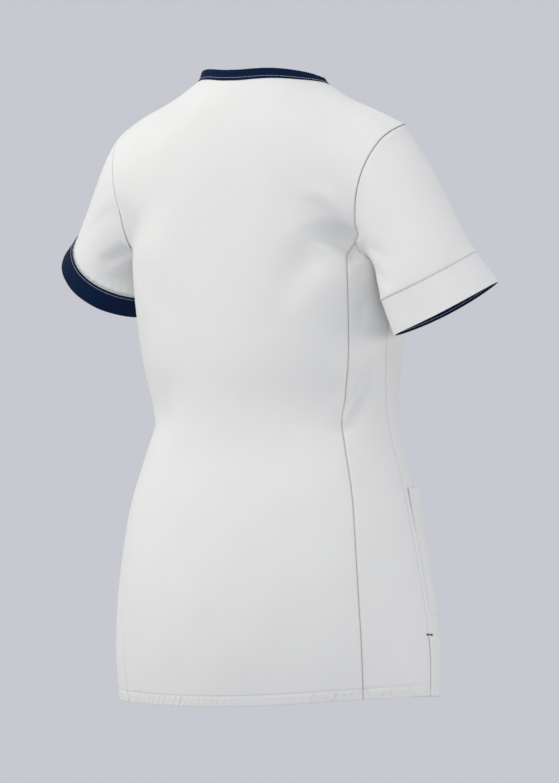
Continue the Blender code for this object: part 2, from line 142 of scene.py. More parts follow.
BODY = table(
    "side_z back_z front_z half_width side_y back_y front_y back_square front_square",
    (-737, -750, -735, 213.5, -37.0, 88.0, -157.0, 2.0, 2.1),
    (-695, -702, -694, 215.5, -34.0, 99.0, -158.0, 2.0, 2.1),
    (-650, -653, -652, 213.0, -31.0, 105.5, -157.0, 2.0, 2.1),
    (-600, -600, -600, 207.0, -27.0, 108.0, -156.0, 2.0, 2.1),
    (-545, -545, -545, 197.0, -24.5, 105.5, -152.0, 2.0, 2.1),
    (-500, -500, -500, 187.0, -23.5, 100.5, -147.0, 2.0, 2.1),
    (-460, -460, -460, 175.0, -25.5, 94.0, -141.0, 2.0, 2.1),
    (-430, -430, -430, 165.0, -28.0, 89.0, -137.5, 2.0, 2.1),
    (-405, -405, -405, 158.5, -29.5, 87.5, -136.5, 2.0, 2.1),
    (-375, -375, -375, 159.5, -24.0, 91.0, -135.0, 2.0, 2.15),
    (-335, -335, -347, 164.5, -16.0, 97.5, -136.5, 2.10, 2.25),
    (-290, -285, -318, 166.5, -15.5, 101.0, -143.5, 2.35, 2.4),
    (-250, -240, -292, 167.0, -19.0, 102.5, -148.0, 2.75, 2.5),
    (-215, -200, -268, 168.0, -20.0, 103.0, -147.0, 3.00, 2.5),
)
print("rings from hem to underarm:", len(BODY["side_z"]))

# %% Armholes, princess seams and the shoulder ridge
ARMHOLES = {
    BACK: table(
        "share x y z",
        (0.00, 168.0, -20.0, -215.0),
        (0.10, 165.5, 8.0, -212.0),
        (0.20, 163.5, 33.0, -203.0),
        (0.30, 163.5, 50.0, -186.0),
        (0.45, 167.0, 62.0, -155.0),
        (0.60, 174.0, 64.0, -121.0),
        (0.75, 183.0, 52.0, -88.0),
        (0.88, 191.5, 29.0, -64.0),
        (1.00, 199.0, -3.0, -50.0),
    ),
    FRONT: table(
        "share x y z",
        (0.00, 168.0, -20.0, -215.0),
        (0.10, 164.5, -46.0, -211.0),
        (0.20, 160.0, -66.0, -199.0),
        (0.30, 157.0, -78.0, -181.0),
        (0.45, 156.0, -84.0, -149.0),
        (0.60, 161.0, -79.0, -117.0),
        (0.75, 172.0, -62.0, -87.0),
        (0.88, 186.0, -36.0, -65.0),
        (1.00, 199.0, -3.0, -50.0),
    ),
}
PRINCESS = {
    BACK: table(
        "level out",
        (-1.00, 0.780),
        (-0.75, 0.806),
        (-0.60, 0.828),
        (-0.46, 0.832),
        (-0.36, 0.853),
        (-0.24, 0.880),
        (-0.12, 0.903),
        (-0.03, 0.914),
        (0.05, 0.930),
        (0.15, 0.962),
        (0.28, 1.000),
    ),
    FRONT: table(
        "level out",
        (-1.00, 0.600),
        (-0.70, 0.590),
        (-0.40, 0.575),
        (-0.10, 0.610),
        (0.08, 0.690),
        (0.22, 0.800),
        (0.33, 0.915),
        (0.40, 1.000),
    ),
}
RIDGE = table(
    "out y z",
    (0.00, -6.0, 38.0),
    (0.44, -6.0, 0.0),
    (0.63, 6.0, -18.0),
    (0.82, 7.0, -33.0),
    (1.00, -3.0, -50.0),
)
armhole_places = sum(len(half["share"]) for half in ARMHOLES.values())
print("places given along both halves of an armhole:", armhole_places)


# %% Smooth curves through the tables
def smooth_curve(knots, values):
    """The natural cubic spline through the values, as a function of the knots' measure."""
    count, step = len(knots), np.diff(knots)
    bend = np.zeros(count)
    system = np.eye(count)
    for i in range(1, count - 1):
        system[i, i - 1 : i + 2] = step[i - 1], 2 * (step[i - 1] + step[i]), step[i]
        rise = (values[i + 1] - values[i]) / step[i] - (values[i] - values[i - 1]) / step[i - 1]
        bend[i] = 6 * rise
    bend = np.linalg.solve(system, bend)

    def at(where):
        i = np.clip(np.searchsorted(knots, where) - 1, 0, count - 2)
        a = (knots[i + 1] - where) / step[i]
        b = 1 - a
        curved = (a**3 - a) * bend[i] + (b**3 - b) * bend[i + 1]
        return a * values[i] + b * values[i + 1] + curved * step[i] ** 2 / 6

    return at


BODY_LEVELS = np.linspace(-1, 0, len(BODY["side_z"]))
BODY_AT = {name: smooth_curve(BODY_LEVELS, values) for name, values in BODY.items()}
ARMHOLE_AT = {
    side: {name: smooth_curve(rows["share"], rows[name]) for name in "xyz"}
    for side, rows in ARMHOLES.items()
}
PRINCESS_AT = {side: smooth_curve(rows["level"], rows["out"]) for side, rows in PRINCESS.items()}
PRINCESS_TOP = {side: rows["level"][-1] for side, rows in PRINCESS.items()}
RIDGE_AT = {name: smooth_curve(RIDGE["out"], RIDGE[name]) for name in "yz"}
print("waist, half width in mm:", round(float(np.min(BODY_AT["half_width"](BODY_LEVELS))), 1))

# %% [markdown]
# The body's surface is one rule with two numbers. angle runs from the centre line, 0, to the side
# seam, 90 degrees. level runs from the hem, -1, through the underarm, 0, to the shoulder seam, 1.
# Below the underarm each level is a rounded ring; above it the ring opens into two armholes and
# the cloth arches over the shoulder blades to the ridge.


# %% A point of the body's cloth
def smoothstep(value):
    """Rises softly from 0 to 1 as the value does, and stays there on both sides."""
    value = np.clip(value, 0, 1)
    return value * value * (3 - 2 * value)


def bell(distance, width, power=2):
    """1 where the distance is nothing, dying away over the width."""
    return np.exp(-((distance / width) ** power))


def unit(vectors):
    return vectors / np.maximum(np.linalg.norm(vectors, axis=-1, keepdims=True), 1e-12)


def dot(one, other):
    """The dot product of each pair of vectors, kept as a column."""
    return (one * other).sum(-1, keepdims=True)


def square_of(side, level):
    """How square a ring is: 2 gives an ellipse, and more gives fuller corners."""
    return BODY_AT[SIDE_WORD[side] + "_square"](np.minimum(level, 0.0))


def arch(side, share):
    """How far the centre line has come in y and in z from underarm level to shoulder ridge."""
    power = ARCH_POWER[side]
    near, far = share ** (power / 2), (1 - share) ** (power / 2)
    turn = math.pi / 2 * near / (near + far)
    return np.maximum(np.cos(turn), 0) ** (2 / power), np.sin(turn) ** (2 / power)


def rounded_share(out):
    """Grows from 0 to 1 with out, almost evenly but with no kink at the centre line."""
    return (np.hypot(out, KINK_ROUND) - KINK_ROUND) / (math.hypot(1, KINK_ROUND) - KINK_ROUND)


def body_point(side, angle, level):
    """Points of the cloth's outer face, in millimetres."""
    angle, level = np.broadcast_arrays(np.asarray(angle, float), np.asarray(level, float))
    low, share = np.minimum(level, 0.0), np.clip(level, 0.0, 1.0)
    centre_y = BODY_AT[SIDE_WORD[side] + "_y"](low)
    centre_z = BODY_AT[SIDE_WORD[side] + "_z"](low)
    square = square_of(side, level)
    out = np.abs(np.sin(angle)) ** (2 / square)
    across = np.maximum(np.cos(angle), 0.0) ** (2 / square)
    ring = [BODY_AT[name](low) for name in ("half_width", "side_y", "side_z")]
    hole = [ARMHOLE_AT[side][name](share) for name in "xyz"]
    half_width, side_y, side_z = (np.where(level > 0, b, a) for a, b in zip(ring, hole))
    kept_y, risen_z = arch(side, share)
    centre_y = NECK_Y + (centre_y - NECK_Y) * kept_y
    centre_z = centre_z + (RIDGE_CENTRE_Z - centre_z) * risen_z
    flat = smoothstep(share / FLATTEN_BY)
    flattened = 1 - out ** ACROSS_POWER[side]
    across = (1 - flat) * across + flat * flattened
    drop = (1 - share) * (1 - out**2) + share * (1 - rounded_share(out))
    y = side_y + (centre_y - side_y) * across
    z = side_z + (centre_z - side_z) * drop
    end_y, end_z = (ARMHOLE_AT[side][name](1.0) for name in "yz")
    before_z = end_z + (RIDGE_CENTRE_Z - end_z) * (1 - rounded_share(out))
    y = y + share**4 * (RIDGE_AT["y"](out) - end_y - (NECK_Y - end_y) * flattened)
    z = z + share**4 * (RIDGE_AT["z"](out) - before_z)
    return np.stack([np.copysign(out * half_width, angle), y, z], -1)


def angle_of(side, out, level):
    """The angle whose point lies that share of the half width from the centre line."""
    reach = np.minimum(np.abs(out), 1.0) ** (square_of(side, level) / 2)
    return np.copysign(np.arcsin(reach), out)


def princess_out(side, level):
    """Where the princess seam lies, as a share of the half width."""
    seam = np.minimum(PRINCESS_AT[side](np.minimum(level, PRINCESS_TOP[side])), 1.0)
    return np.where(level >= PRINCESS_TOP[side], 1.0, seam)


print("centre back at the underarm:", body_point(BACK, 0.0, 0.0).round(1))


# %% Where the neck is cut out
def neck_level(side, column):
    """The level at which a centre panel's column ends: the neck edge, or the shoulder seam."""
    share = np.minimum(np.abs(column) / NECK_SHARE, 1.0)
    power = ARCH_POWER[side]
    if side == BACK:
        kept = NECK_BACK_SHARE * np.sqrt(1 - share**2)
        turn = np.arccos(kept ** (power / 2))
    else:
        low = float(BODY_AT["front_z"](0.0))
        ridge = RIDGE_CENTRE_Z - (RIDGE_CENTRE_Z + SHOULDER_DROP) * share * NECK_SHARE
        risen = (-V_NECK_DEPTH * (1 - share**V_CURVE) - low) / (ridge - low)
        turn = np.arcsin(np.minimum(risen, 1.0) ** (power / 2))
    turned = np.minimum(turn / (math.pi / 2), 1 - 1e-9)
    ratio = (turned / (1 - turned)) ** (2 / power)
    return np.where(share >= 1, 1.0, ratio / (1 + ratio))


def centre_place(side, column, level):
    """Angle and level of a centre panel's point. column is -1 to 1 between its seams."""
    at = np.where(level > 0, level * neck_level(side, column), level)
    return angle_of(side, column * princess_out(side, at), at), at


foot = body_point(FRONT, *centre_place(FRONT, np.array(0.0), np.array(1.0)))
print("foot of the V neck:", foot.round(1))

# %% [markdown]
# Worn cloth is never as smooth as a curve through a table. Simulating the whole tunic would make
# creases in chance places, so the main ones are listed instead: each row below is one soft trough
# (or a ridge, where depth is negative) along a line through three places of the surface. They
# radiate from the underarms and gather at the waist, where this tunic is shaped. Every panel adds
# the same relief, so that a crease runs unbroken over a seam.

# %% Creases, listed one by one
CREASES = table(
    "side out_1 level_1 out_2 level_2 out_3 level_3 width depth",
    (BACK, -0.70, 0.10, -0.88, 0.20, -0.99, 0.14, 11.0, 14.0),
    (BACK, -0.50, -0.10, -0.79, 0.02, -0.95, 0.04, 25.0, 10.0),
    (BACK, -0.66, 0.29, -0.86, 0.37, -0.99, 0.31, 10.0, -3.0),
    (BACK, -1.02, 0.22, -0.97, 0.10, -0.96, -0.03, 9.0, 6.5),
    (BACK, -0.98, -0.01, -0.95, -0.03, -0.92, -0.06, 7.0, -1.6),
    (BACK, -1.00, -0.07, -0.96, -0.12, -0.91, -0.19, 9.0, 2.2),
    (BACK, -0.81, -0.43, -0.90, -0.35, -0.99, -0.24, 10.5, 12.0),
    (BACK, -0.70, -0.33, -0.86, -0.29, -0.99, -0.22, 12.0, 1.4),
    (BACK, -0.90, 0.04, -0.52, -0.12, -0.12, -0.20, 20.0, 1.3),
    (BACK, 0.58, -0.27, 0.62, -0.37, 0.60, -0.47, 16.0, 3.6),
    (BACK, -0.72, -0.40, 0.05, -0.39, 0.90, -0.41, 34.0, -3.5),
    (BACK, 0.84, -0.45, 0.92, -0.37, 0.99, -0.27, 11.0, 2.4),
    (BACK, 0.95, 0.08, 0.62, -0.09, 0.22, -0.17, 22.0, 1.4),
    (BACK, 0.99, 0.48, 0.93, 0.36, 0.90, 0.20, 13.0, 2.6),
    (BACK, -0.50, -0.96, -0.44, -0.80, -0.36, -0.60, 26.0, 1.3),
    (BACK, 0.30, -0.97, 0.27, -0.80, 0.22, -0.62, 30.0, 1.2),
    (BACK, 0.80, -0.95, 0.84, -0.80, 0.86, -0.64, 20.0, 1.4),
    (FRONT, -0.98, 0.16, -0.66, 0.02, -0.34, 0.00, 19.0, 2.4),
    (FRONT, 0.98, 0.14, 0.62, 0.03, 0.30, 0.03, 20.0, 2.1),
    (FRONT, -0.97, 0.02, -0.72, -0.12, -0.52, -0.14, 14.0, 1.9),
    (FRONT, 0.97, 0.00, 0.74, -0.13, 0.50, -0.17, 15.0, 2.1),
    (FRONT, -0.99, -0.27, -0.80, -0.36, -0.56, -0.38, 11.0, 2.2),
    (FRONT, 0.99, -0.25, 0.82, -0.35, 0.60, -0.40, 12.0, 2.4),
    (FRONT, -0.97, -0.44, -0.76, -0.43, -0.52, -0.47, 12.0, 1.6),
    (FRONT, 0.97, -0.46, 0.74, -0.44, 0.55, -0.46, 11.0, 1.4),
    (FRONT, -0.44, -0.37, 0.02, -0.41, 0.46, -0.36, 24.0, 1.5),
    (FRONT, -0.99, 0.42, -0.72, 0.40, -0.50, 0.52, 17.0, 2.2),
    (FRONT, 0.99, 0.40, 0.74, 0.41, 0.52, 0.50, 17.0, 2.0),
    (FRONT, -0.24, -0.97, -0.20, -0.80, -0.14, -0.62, 30.0, 1.6),
    (FRONT, 0.28, -0.96, 0.22, -0.78, 0.18, -0.58, 26.0, 1.5),
)
CREASE_ALONG = np.linspace(0, 1, 28)
CREASE_STRENGTH = np.sin(math.pi * CREASE_ALONG) ** 0.8
FULLNESS = 0.35


def through_three(row, *names):
    """Each named value along a crease, from the three places that its row gives."""
    knots = np.array((0.0, 0.5, 1.0))
    threes = [np.array([row[f"{name}_{i}"] for i in (1, 2, 3)]) for name in names]
    return [smooth_curve(knots, three)(CREASE_ALONG) for three in threes]


def crease_depth(points, path, width):
    """How deep a crease lies at each point, from 0 far away to 1 on its middle."""
    flat = points.reshape(-1, 3)
    depth = np.zeros(len(flat))
    near = np.all(np.abs(flat - path.mean(0)) < np.ptp(path, axis=0) / 2 + 3 * width, axis=1)
    gaps = np.linalg.norm(flat[near, None] - path[None], axis=-1)
    depth[near] = (bell(gaps, width) * CREASE_STRENGTH).max(axis=1)
    return depth.reshape(points.shape[:-1])


def fullness(points):
    """The faint unevenness of pressed cloth, as a sum of long waves."""
    x, y, z = np.moveaxis(points, -1, 0)
    waves = np.sin(x / 31 + 1.3 * np.sin(z / 67)) + np.sin(z / 43 + y / 29 + 0.7)
    return FULLNESS * (waves + 0.6 * np.sin((x + z) / 19 + 2 * np.sin(y / 37)))


def body_relief(points):
    """How far the worn cloth stands off the smooth surface, in millimetres."""
    relief = fullness(points)
    for row in rows_of(CREASES):
        side = int(row["side"])
        out, level = through_three(row, "out", "level")
        path = body_point(side, angle_of(side, out, level), level)
        relief -= row["depth"] * crease_depth(points, path, row["width"])
    return relief


print("creases placed:", len(CREASES["side"]))

# %% [markdown]
# A sheet of cloth is a grid of points through the middle of its thickness. Where two panels meet,
# the edge of each rolls inwards, and a painted shade along it darkens the colour; together they
# draw a sewn seam as a fine dark line. The roll needs the distance to the edge, which is measured
# along the grid itself, and close to an edge the grid has extra columns so that the roll is
# smooth.

# %% Grids and their edges
CLOSE_TO_EDGE = (0.0, 0.9, 1.8, 3.0, 5.0)
EDGE_ROWS = len(CLOSE_TO_EDGE)


def chord(points, axis):
    """From each point's last neighbour to its next one, round a loop."""
    return np.roll(points, -1, axis=axis) - np.roll(points, 1, axis=axis)


def grid_normals(points, closed=False):
    """Directions square to a grid, from its rows and columns."""
    across = chord(points, 1) if closed else np.gradient(points, axis=1)
    return unit(np.cross(across, np.gradient(points, axis=0)))


def joined(points):
    """A closed grid with its first column again at its end."""
    return np.hstack([points, points[:, :1]])


def beside(values, axis):
    """The mean of each value's two neighbours round a loop."""
    return (np.roll(values, 1, axis=axis) + np.roll(values, -1, axis=axis)) / 2


def run_along(points, axis):
    """The distance travelled along each row, axis 1, or each column, axis 0."""
    steps = np.linalg.norm(np.diff(points, axis=axis), axis=-1)
    start = np.zeros_like(np.take(steps, [0], axis=axis))
    return np.concatenate([start, np.cumsum(steps, axis=axis)], axis=axis)


def distance_to(points, edge):
    """How far each point of a grid is from one of its edges."""
    run = run_along(points, 0 if edge.endswith("row") else 1)
    if edge.startswith("first"):
        return run
    return (run[-1:] if edge == "last_row" else run[:, -1:]) - run


print("extra rows or columns by each edge:", EDGE_ROWS)

# %% Rolled seams
SEAM_GAP, CELL_SHARE = 0.3, 0.45
SEAM_ROLL, PRINCESS_ROLL, ARMHOLE_ROLL, SEAM_ROLL_REACH = 0.95, 1.4, 0.45, 1.3
# How far the painted shade beside a seam reaches, and how far it darkens the cloth at most.
SEAM_SHADE_REACH, SEAM_DARKNESS = 0.75, 0.50
PUCKER_REACH, PUCKER_SPACING = 7.0, 11.0
NECK_PUCKER, PRINCESS_PUCKER, SIDE_PUCKER, CUFF_SEAM_PUCKER = 0.08, 0.16, 0.14, 0.50


def ripple(run, spacing):
    """Uneven small waves along a seam, between -1 and 1."""
    turn = 2 * math.pi * run / spacing
    return 0.6 * np.sin(turn) + 0.4 * np.sin(1.73 * turn + 1.1 + np.sin(0.37 * turn))


def seam_relief(points, edge, pucker, roll=SEAM_ROLL):
    """The roll at a seam and the small puckers that its stitches draw into the cloth."""
    away = distance_to(points, edge)
    run = run_along(points, 1 if edge.endswith("row") else 0)
    rolled = -roll * bell(away, SEAM_ROLL_REACH)
    return rolled + pucker * bell(away, PUCKER_REACH) * ripple(run, PUCKER_SPACING)


def seam_shade(points, edges):
    """How much painted shade a seam's valley gets, from 0 to 1, by the edges' weights, standing in
    for the light that the valley keeps out.
    """
    shade = np.zeros(points.shape[:2])
    for edge, weight in edges:
        near = bell(distance_to(points, edge), SEAM_SHADE_REACH)
        shade = np.maximum(shade, weight * near)
    return shade


def set_back(points, edge, distance, closed=False):
    """Moves one edge of a grid into the cloth, square to that edge, so that a seam has a gap."""
    rows = points if edge.endswith("row") else points.transpose(1, 0, 2)
    outer, inner = (0, 1) if edge.startswith("first") else (-1, -2)
    line = rows[outer].copy()
    along = unit(chord(line, 0) if closed else np.gradient(line, axis=0))
    into = rows[inner] - line
    into -= dot(into, along) * along
    room = CELL_SHARE * np.linalg.norm(into, axis=-1)
    rows[outer] = line + unit(into) * np.minimum(distance, room)[:, None]


print("gap at a seam in mm:", SEAM_GAP)

# %% A closed sheet of cloth as a mesh
CLOTH = 0.55
SHARP_FROM = math.radians(50)


def closed_faces(number, far, closed):
    """The faces of both skins and of the rims that join them, from the numbers of the outer
    skin's places. far is how much higher the inner skin is numbered."""
    a, b, c, d = number[:-1, :-1], number[:-1, 1:], number[1:, 1:], number[1:, :-1]
    outer = np.stack([a, b, c, d], -1).reshape(-1, 4)
    faces = [outer, outer[:, ::-1] + far]
    rims = [(number[0], 1), (number[-1], -1)]
    if not closed:
        rims += [(number[:, 0], -1), (number[:, -1], 1)]
    for line, way in rims:
        p, q = (line[1:], line[:-1])[::way]
        faces.append(np.stack([p, q, q + far, p + far], -1))
    return np.concatenate(faces)


def wall(points, closed=False, normals=None, shade=None):
    """Vertices, faces, pattern coordinates and painted seam shade of one sheet with its thickness.

    The grid runs through the middle of the cloth. A closed grid's last column joins its first.
    The pattern coordinates are the distances along the cloth, so that its weave isn't stretched.
    """
    normals = grid_normals(points, closed) if normals is None else normals
    rows, columns = points.shape[:2]
    skins = [points + normals * CLOTH / 2, points - normals * CLOTH / 2]
    verts = np.concatenate([skin.reshape(-1, 3) for skin in skins])
    number = np.arange(rows * columns).reshape(rows, columns)
    wide, number = (joined(points), joined(number)) if closed else (points, number)
    place = np.arange(number.size).reshape(number.shape)
    faces = closed_faces(number, rows * columns, closed)
    places = closed_faces(place, 0, closed)
    first = np.cross(points[0, 1] - points[0, 0], points[1, 0] - points[0, 0])
    if np.dot(first, normals[0, 0]) < 0:
        faces, places = faces[:, ::-1], places[:, ::-1]
    across, up = run_along(wide, 1), run_along(wide, 0)
    middle = wide.shape[1] // 2
    across = across - across[:, middle : middle + 1]
    pattern = np.stack([across, up], -1).reshape(-1, 2)[places]
    shade = np.zeros((rows, columns)) if shade is None else shade
    return verts, faces, pattern, np.tile(shade.ravel(), 2)


def flat_area(points, closed=False):
    """The area of a grid's middle surface, in square millimetres."""
    wide = joined(points) if closed else points
    one, two = wide[1:, 1:] - wide[:-1, :-1], wide[1:, :-1] - wide[:-1, 1:]
    return float(np.linalg.norm(np.cross(one, two), axis=-1).sum() / 2)


def flat_size(points, closed=False):
    """How far a grid runs across, or all round, and along, in millimetres."""
    wide = joined(points) if closed else points
    return float(run_along(wide, 1)[:, -1].max()), float(run_along(wide, 0)[-1].max())


def add_mesh(name, walls, material):
    """One object of several closed sheets, with its weave running along the pattern."""
    starts = np.cumsum([0] + [len(verts) for verts, *_ in walls])
    faces = np.concatenate([part[1] + start for part, start in zip(walls, starts)])
    verts, _, pattern, shade = (np.concatenate(kind) for kind in zip(*walls))
    data = bpy.data.meshes.new(name)
    data.from_pydata((verts * MM).tolist(), [], faces.tolist())
    layer = data.uv_layers.new(name="pattern")
    layer.data.foreach_set("uv", (pattern * MM).astype(np.float32).ravel())
    # The painted shade of the seams' valleys, which darkens the cloth's colour.
    seam = data.attributes.new("seam", "FLOAT", "POINT")
    seam.data.foreach_set("value", shade.astype(np.float32))
    data.shade_smooth()
    data.set_sharp_from_angle(angle=SHARP_FROM)
    data.materials.append(material)
    return in_scene(name, data)


print("cloth thickness in mm:", CLOTH)

# %% [markdown]
# The finish comes next, because every piece needs it. Workwear cloth is a twill: fine diagonal
# ribs under a millimetre apart, with a soft sheen and a slightly uneven tone. An image could
# carry that, but nodes stay sharp at any size. The small class below lets shader maths be
# written as ordinary Python expressions.


# %% Shader maths as expressions
def set_up(tree, node, settings=(), inputs=()):
    """Gives a node its settings, and then the values or links of its sockets."""
    for name, value in dict(settings).items():
        setattr(node, name, value)
    for name, value in dict(inputs).items():
        value = value.socket if isinstance(value, Socket) else value
        if isinstance(value, bpy.types.NodeSocket):
            tree.links.new(value, node.inputs[name])
        else:
            node.inputs[name].default_value = value
    return node


class Socket:
    """A node's output, which can be added, multiplied and so on, and can start new nodes."""

    def __init__(self, tree, socket):
        self.tree, self.socket = tree, socket

    def node(self, kind, settings=(), inputs=(), output=0):
        """Any node, from its type, its settings and the values or links of its sockets."""
        made = set_up(self.tree, self.tree.nodes.new(kind), settings, inputs)
        return Socket(self.tree, made.outputs[output])

    def maths(self, operation, *values):
        return self.node("ShaderNodeMath", {"operation": operation}, enumerate(values))

    def __add__(self, other):
        return self.maths("ADD", self, other)

    def __sub__(self, other):
        return self.maths("SUBTRACT", self, other)

    def __mul__(self, other):
        return self.maths("MULTIPLY", self, other)

    __radd__, __rmul__ = __add__, __mul__

    def sine(self):
        return self.maths("SINE", self)

    def mix(self, low, high):
        """Colours low to high, as this runs from 0 to 1. Either may be a socket."""
        low, high = (end if isinstance(end, Socket) else (*end, 1) for end in (low, high))
        inputs = {0: self, 6: low, 7: high}
        return self.node("ShaderNodeMix", {"data_type": "RGBA"}, inputs, output=2)

    def noise(self, scale, detail):
        """Noise in the object's own coordinates, from the socket that holds them."""
        inputs = {"Vector": self, "Scale": scale, "Detail": detail}
        return self.node("ShaderNodeTexNoise", (), inputs)

    def bump(self, strength, distance):
        """The normal that this height gives a surface."""
        inputs = {"Height": self, "Strength": strength, "Distance": distance * MM}
        return self.node("ShaderNodeBump", (), inputs)


def start_material(name):
    """A material, its tree, its shader, and the place on the object to start maths from."""
    material = bpy.data.materials.new(name)
    material.use_nodes = True
    tree = material.node_tree
    place = Socket(tree, None).node("ShaderNodeTexCoord", output=3)
    return material, tree, tree.nodes["Principled BSDF"], place


print("operators ready")

# %% [markdown]
# The twill's ribs follow the pattern map that each sheet carries, so that they bend with the
# cloth. Two sizes of noise on object coordinates add the mottling of yarn and the faint tone of a
# pressed garment. The mesh also stores, at each point, how deep in a seam's valley it lies, and
# the colour darkens by that number: this is painted shade, standing in for the shadow in a real
# seam, which is narrower than the renderer's light can tell.
# Sheen is a number on the shader itself, because it is the same all over.

# %% Twill and thread
RIB_SPACING, PICK_SPACING, WEAVE_DEPTH = 0.75, 0.55, 0.12
YARN_SCALE, TONE_SCALE, PLY_SCALE = 900.0, 26.0, 1500.0
WHITE_CLOTH = ((0.82, 0.825, 0.815), (0.875, 0.875, 0.865))
# The colour that the painted shade in a seam's valley mixes towards.
SEAM_SHADE = (0.02, 0.02, 0.02)
PATTERN_MAP = {"uv_map": "pattern"}
NAVY_CLOTH = ((0.0015, 0.0090, 0.0350), (0.0040, 0.0160, 0.0560))


def twill(name, colours, roughness, shine, sheen, sheen_tint, relief):
    """Twill cloth between two near colours. relief is how strongly its ribs catch the light."""
    material, tree, shader, place = start_material(name)
    u = place.node("ShaderNodeSeparateXYZ", (), {0: place.node("ShaderNodeUVMap", PATTERN_MAP)})
    v = Socket(tree, u.socket.node.outputs[1])
    turns = 2 * math.pi / MM
    rib = ((u + v) * (turns / RIB_SPACING / math.sqrt(2))).sine()
    pick = ((u - v) * (turns / PICK_SPACING / math.sqrt(2))).sine()
    yarn, tone = place.noise(YARN_SCALE, 2.0), place.noise(TONE_SCALE, 3.0)
    shade = yarn * 0.35 + tone * 0.65 + rib * 0.06
    # Painted shade: the colour darkens where the mesh's seam attribute says a seam's valley lies.
    painted_valley_shade = place.node("ShaderNodeAttribute", {"attribute_name": "seam"}, (), 2)
    sockets = {
        "Base Color": (painted_valley_shade * SEAM_DARKNESS).mix(shade.mix(*colours), SEAM_SHADE),
        "Roughness": roughness - 0.08 + 0.16 * tone,
        "Normal": (rib * 0.5 + pick * 0.25 + yarn * 0.6).bump(relief, WEAVE_DEPTH),
        "Sheen Weight": sheen,
        "Sheen Roughness": 0.45,
        "Sheen Tint": (*sheen_tint, 1),
        "Specular IOR Level": shine,
    }
    set_up(tree, shader, (), sockets)
    return material


def thread(name, dark, light):
    """Sewing thread: two plies twisted together show as slanting light and dark."""
    material, tree, shader, place = start_material(name)
    ply = place.noise(PLY_SCALE, 1.0)
    sockets = {"Base Color": ply.mix(dark, light), "Roughness": 0.45 + 0.2 * ply}
    set_up(tree, shader, (), sockets | {"Normal": ply.bump(0.3, 0.05)})
    return material


white_cloth = twill("white_twill", WHITE_CLOTH, 0.82, 0.25, 0.10, (1, 1, 1), 0.35)
navy_cloth = twill("navy_twill", NAVY_CLOTH, 0.72, 0.07, 0.02, (0.5, 0.65, 0.9), 0.5)
white_thread = thread("white_thread", (0.72, 0.72, 0.71), (0.84, 0.84, 0.83))
pale_thread = thread("pale_thread", (0.40, 0.45, 0.52), (0.60, 0.64, 0.70))
navy_thread = thread("navy_thread", (0.006, 0.012, 0.030), (0.016, 0.030, 0.066))
print("materials:", [m.name for m in bpy.data.materials][-5:])

# %% [markdown]
# The body has two centre panels and four side panels. Each is sampled every few millimetres from
# the shared surface. Its hem is not a cut edge: the cloth turns up inside and a line of stitches
# holds it, so the grid starts at the turned edge, runs down inside, round the fold and up the
# outside. The stitch line draws the cloth in a little, and small puckers run across the hem, with
# a little of the same painted shade as the seams in their hollows. Where the rings turn into
# armholes the rule has a slight break, and averaging each column's points with their neighbours
# eases it, as cloth would.

# %% Rows and columns of the body
HEM_HEIGHT = 12.5
SLIT_TOP_Z, SLIT_ABOVE, SLIT_HALF_GAP, SLIT_TURNING = -663.0, 8.0, 1.3, 9.0
LAYER_GAP = 0.15
HEM_HEIGHTS = (0.0, 1.5, 3.5, 6.0, 8.0, 9.6, 11.1, 11.9, HEM_HEIGHT, 13.1, 13.9, 15.5, 18.5)
MM_PER_LEVEL, MM_PER_LEVEL_AT_HEM = 522.0, 580.0
ROW_STEP = 4.2
UPPER_ROWS, NECK_COLUMNS, SHOULDER_COLUMNS, SIDE_COLUMNS = 74, 34, 34, 12
UPPER_LENGTH, SHOULDER_LENGTH, SIDE_HALF_WIDTH = 260.0, 100.0, 40.0
TIP_FROM, TIP_CLOSENESS, TIP_WIDTH = 0.97, 0.996, 16.0
# HEM_SHADE is how much painted shade lies in the hollows of the hem's puckers.
HEM_PUCKER, HEM_PUCKER_SPACING, HEM_SHADE = 0.85, 9.5, 0.22
HEM_PRESS, HEM_PRESS_WIDTH = 0.50, 1.1
EASE_LEVEL, EASE_MARGIN, EASE_WIDTH, EASE_ROUNDS = 0.10, 3.0, 12.0, 80

hem_levels = -1 + np.array(HEM_HEIGHTS) / MM_PER_LEVEL_AT_HEM
low_count = int(MM_PER_LEVEL / ROW_STEP)
low_levels = np.linspace(hem_levels[-1], 0, low_count)[1:]


def level_of(height):
    """The level whose ring lies at a height at the side seam."""
    levels = np.linspace(-1, 0, 401)
    return float(np.interp(height, BODY_AT["side_z"](levels), levels))


def near_the_end(values, length):
    """The values from 0 to 1, with extra ones close to the end of a run of that length."""
    extra = 1 - np.array(CLOSE_TO_EDGE) / length
    return np.concatenate([values[values < extra.min() - 0.5 / len(values)], extra[::-1]])


upper_levels = near_the_end(np.linspace(0, 1, UPPER_ROWS + 1)[1:], UPPER_LENGTH)


def centre_columns():
    """Shares of the half width across a centre panel, closing up towards the neck's corner."""
    neck = NECK_SHARE * np.sin(np.arange(NECK_COLUMNS + 1) * math.pi / 2 / NECK_COLUMNS)
    shoulder = near_the_end(np.linspace(0, 1, SHOULDER_COLUMNS + 1), SHOULDER_LENGTH)
    half = np.concatenate([neck, NECK_SHARE + (1 - NECK_SHARE) * shoulder[1:]])
    return np.concatenate([-half[:0:-1], half])


def side_steps():
    """Shares from princess seam to side seam, close together at both."""
    late = near_the_end(np.linspace(0, 1, SIDE_COLUMNS), SIDE_HALF_WIDTH)
    half = (1 - late[::-1]) / 2
    return np.concatenate([half, 1 - half[::-1][1:]])


print("columns across a centre panel:", len(centre_columns()))


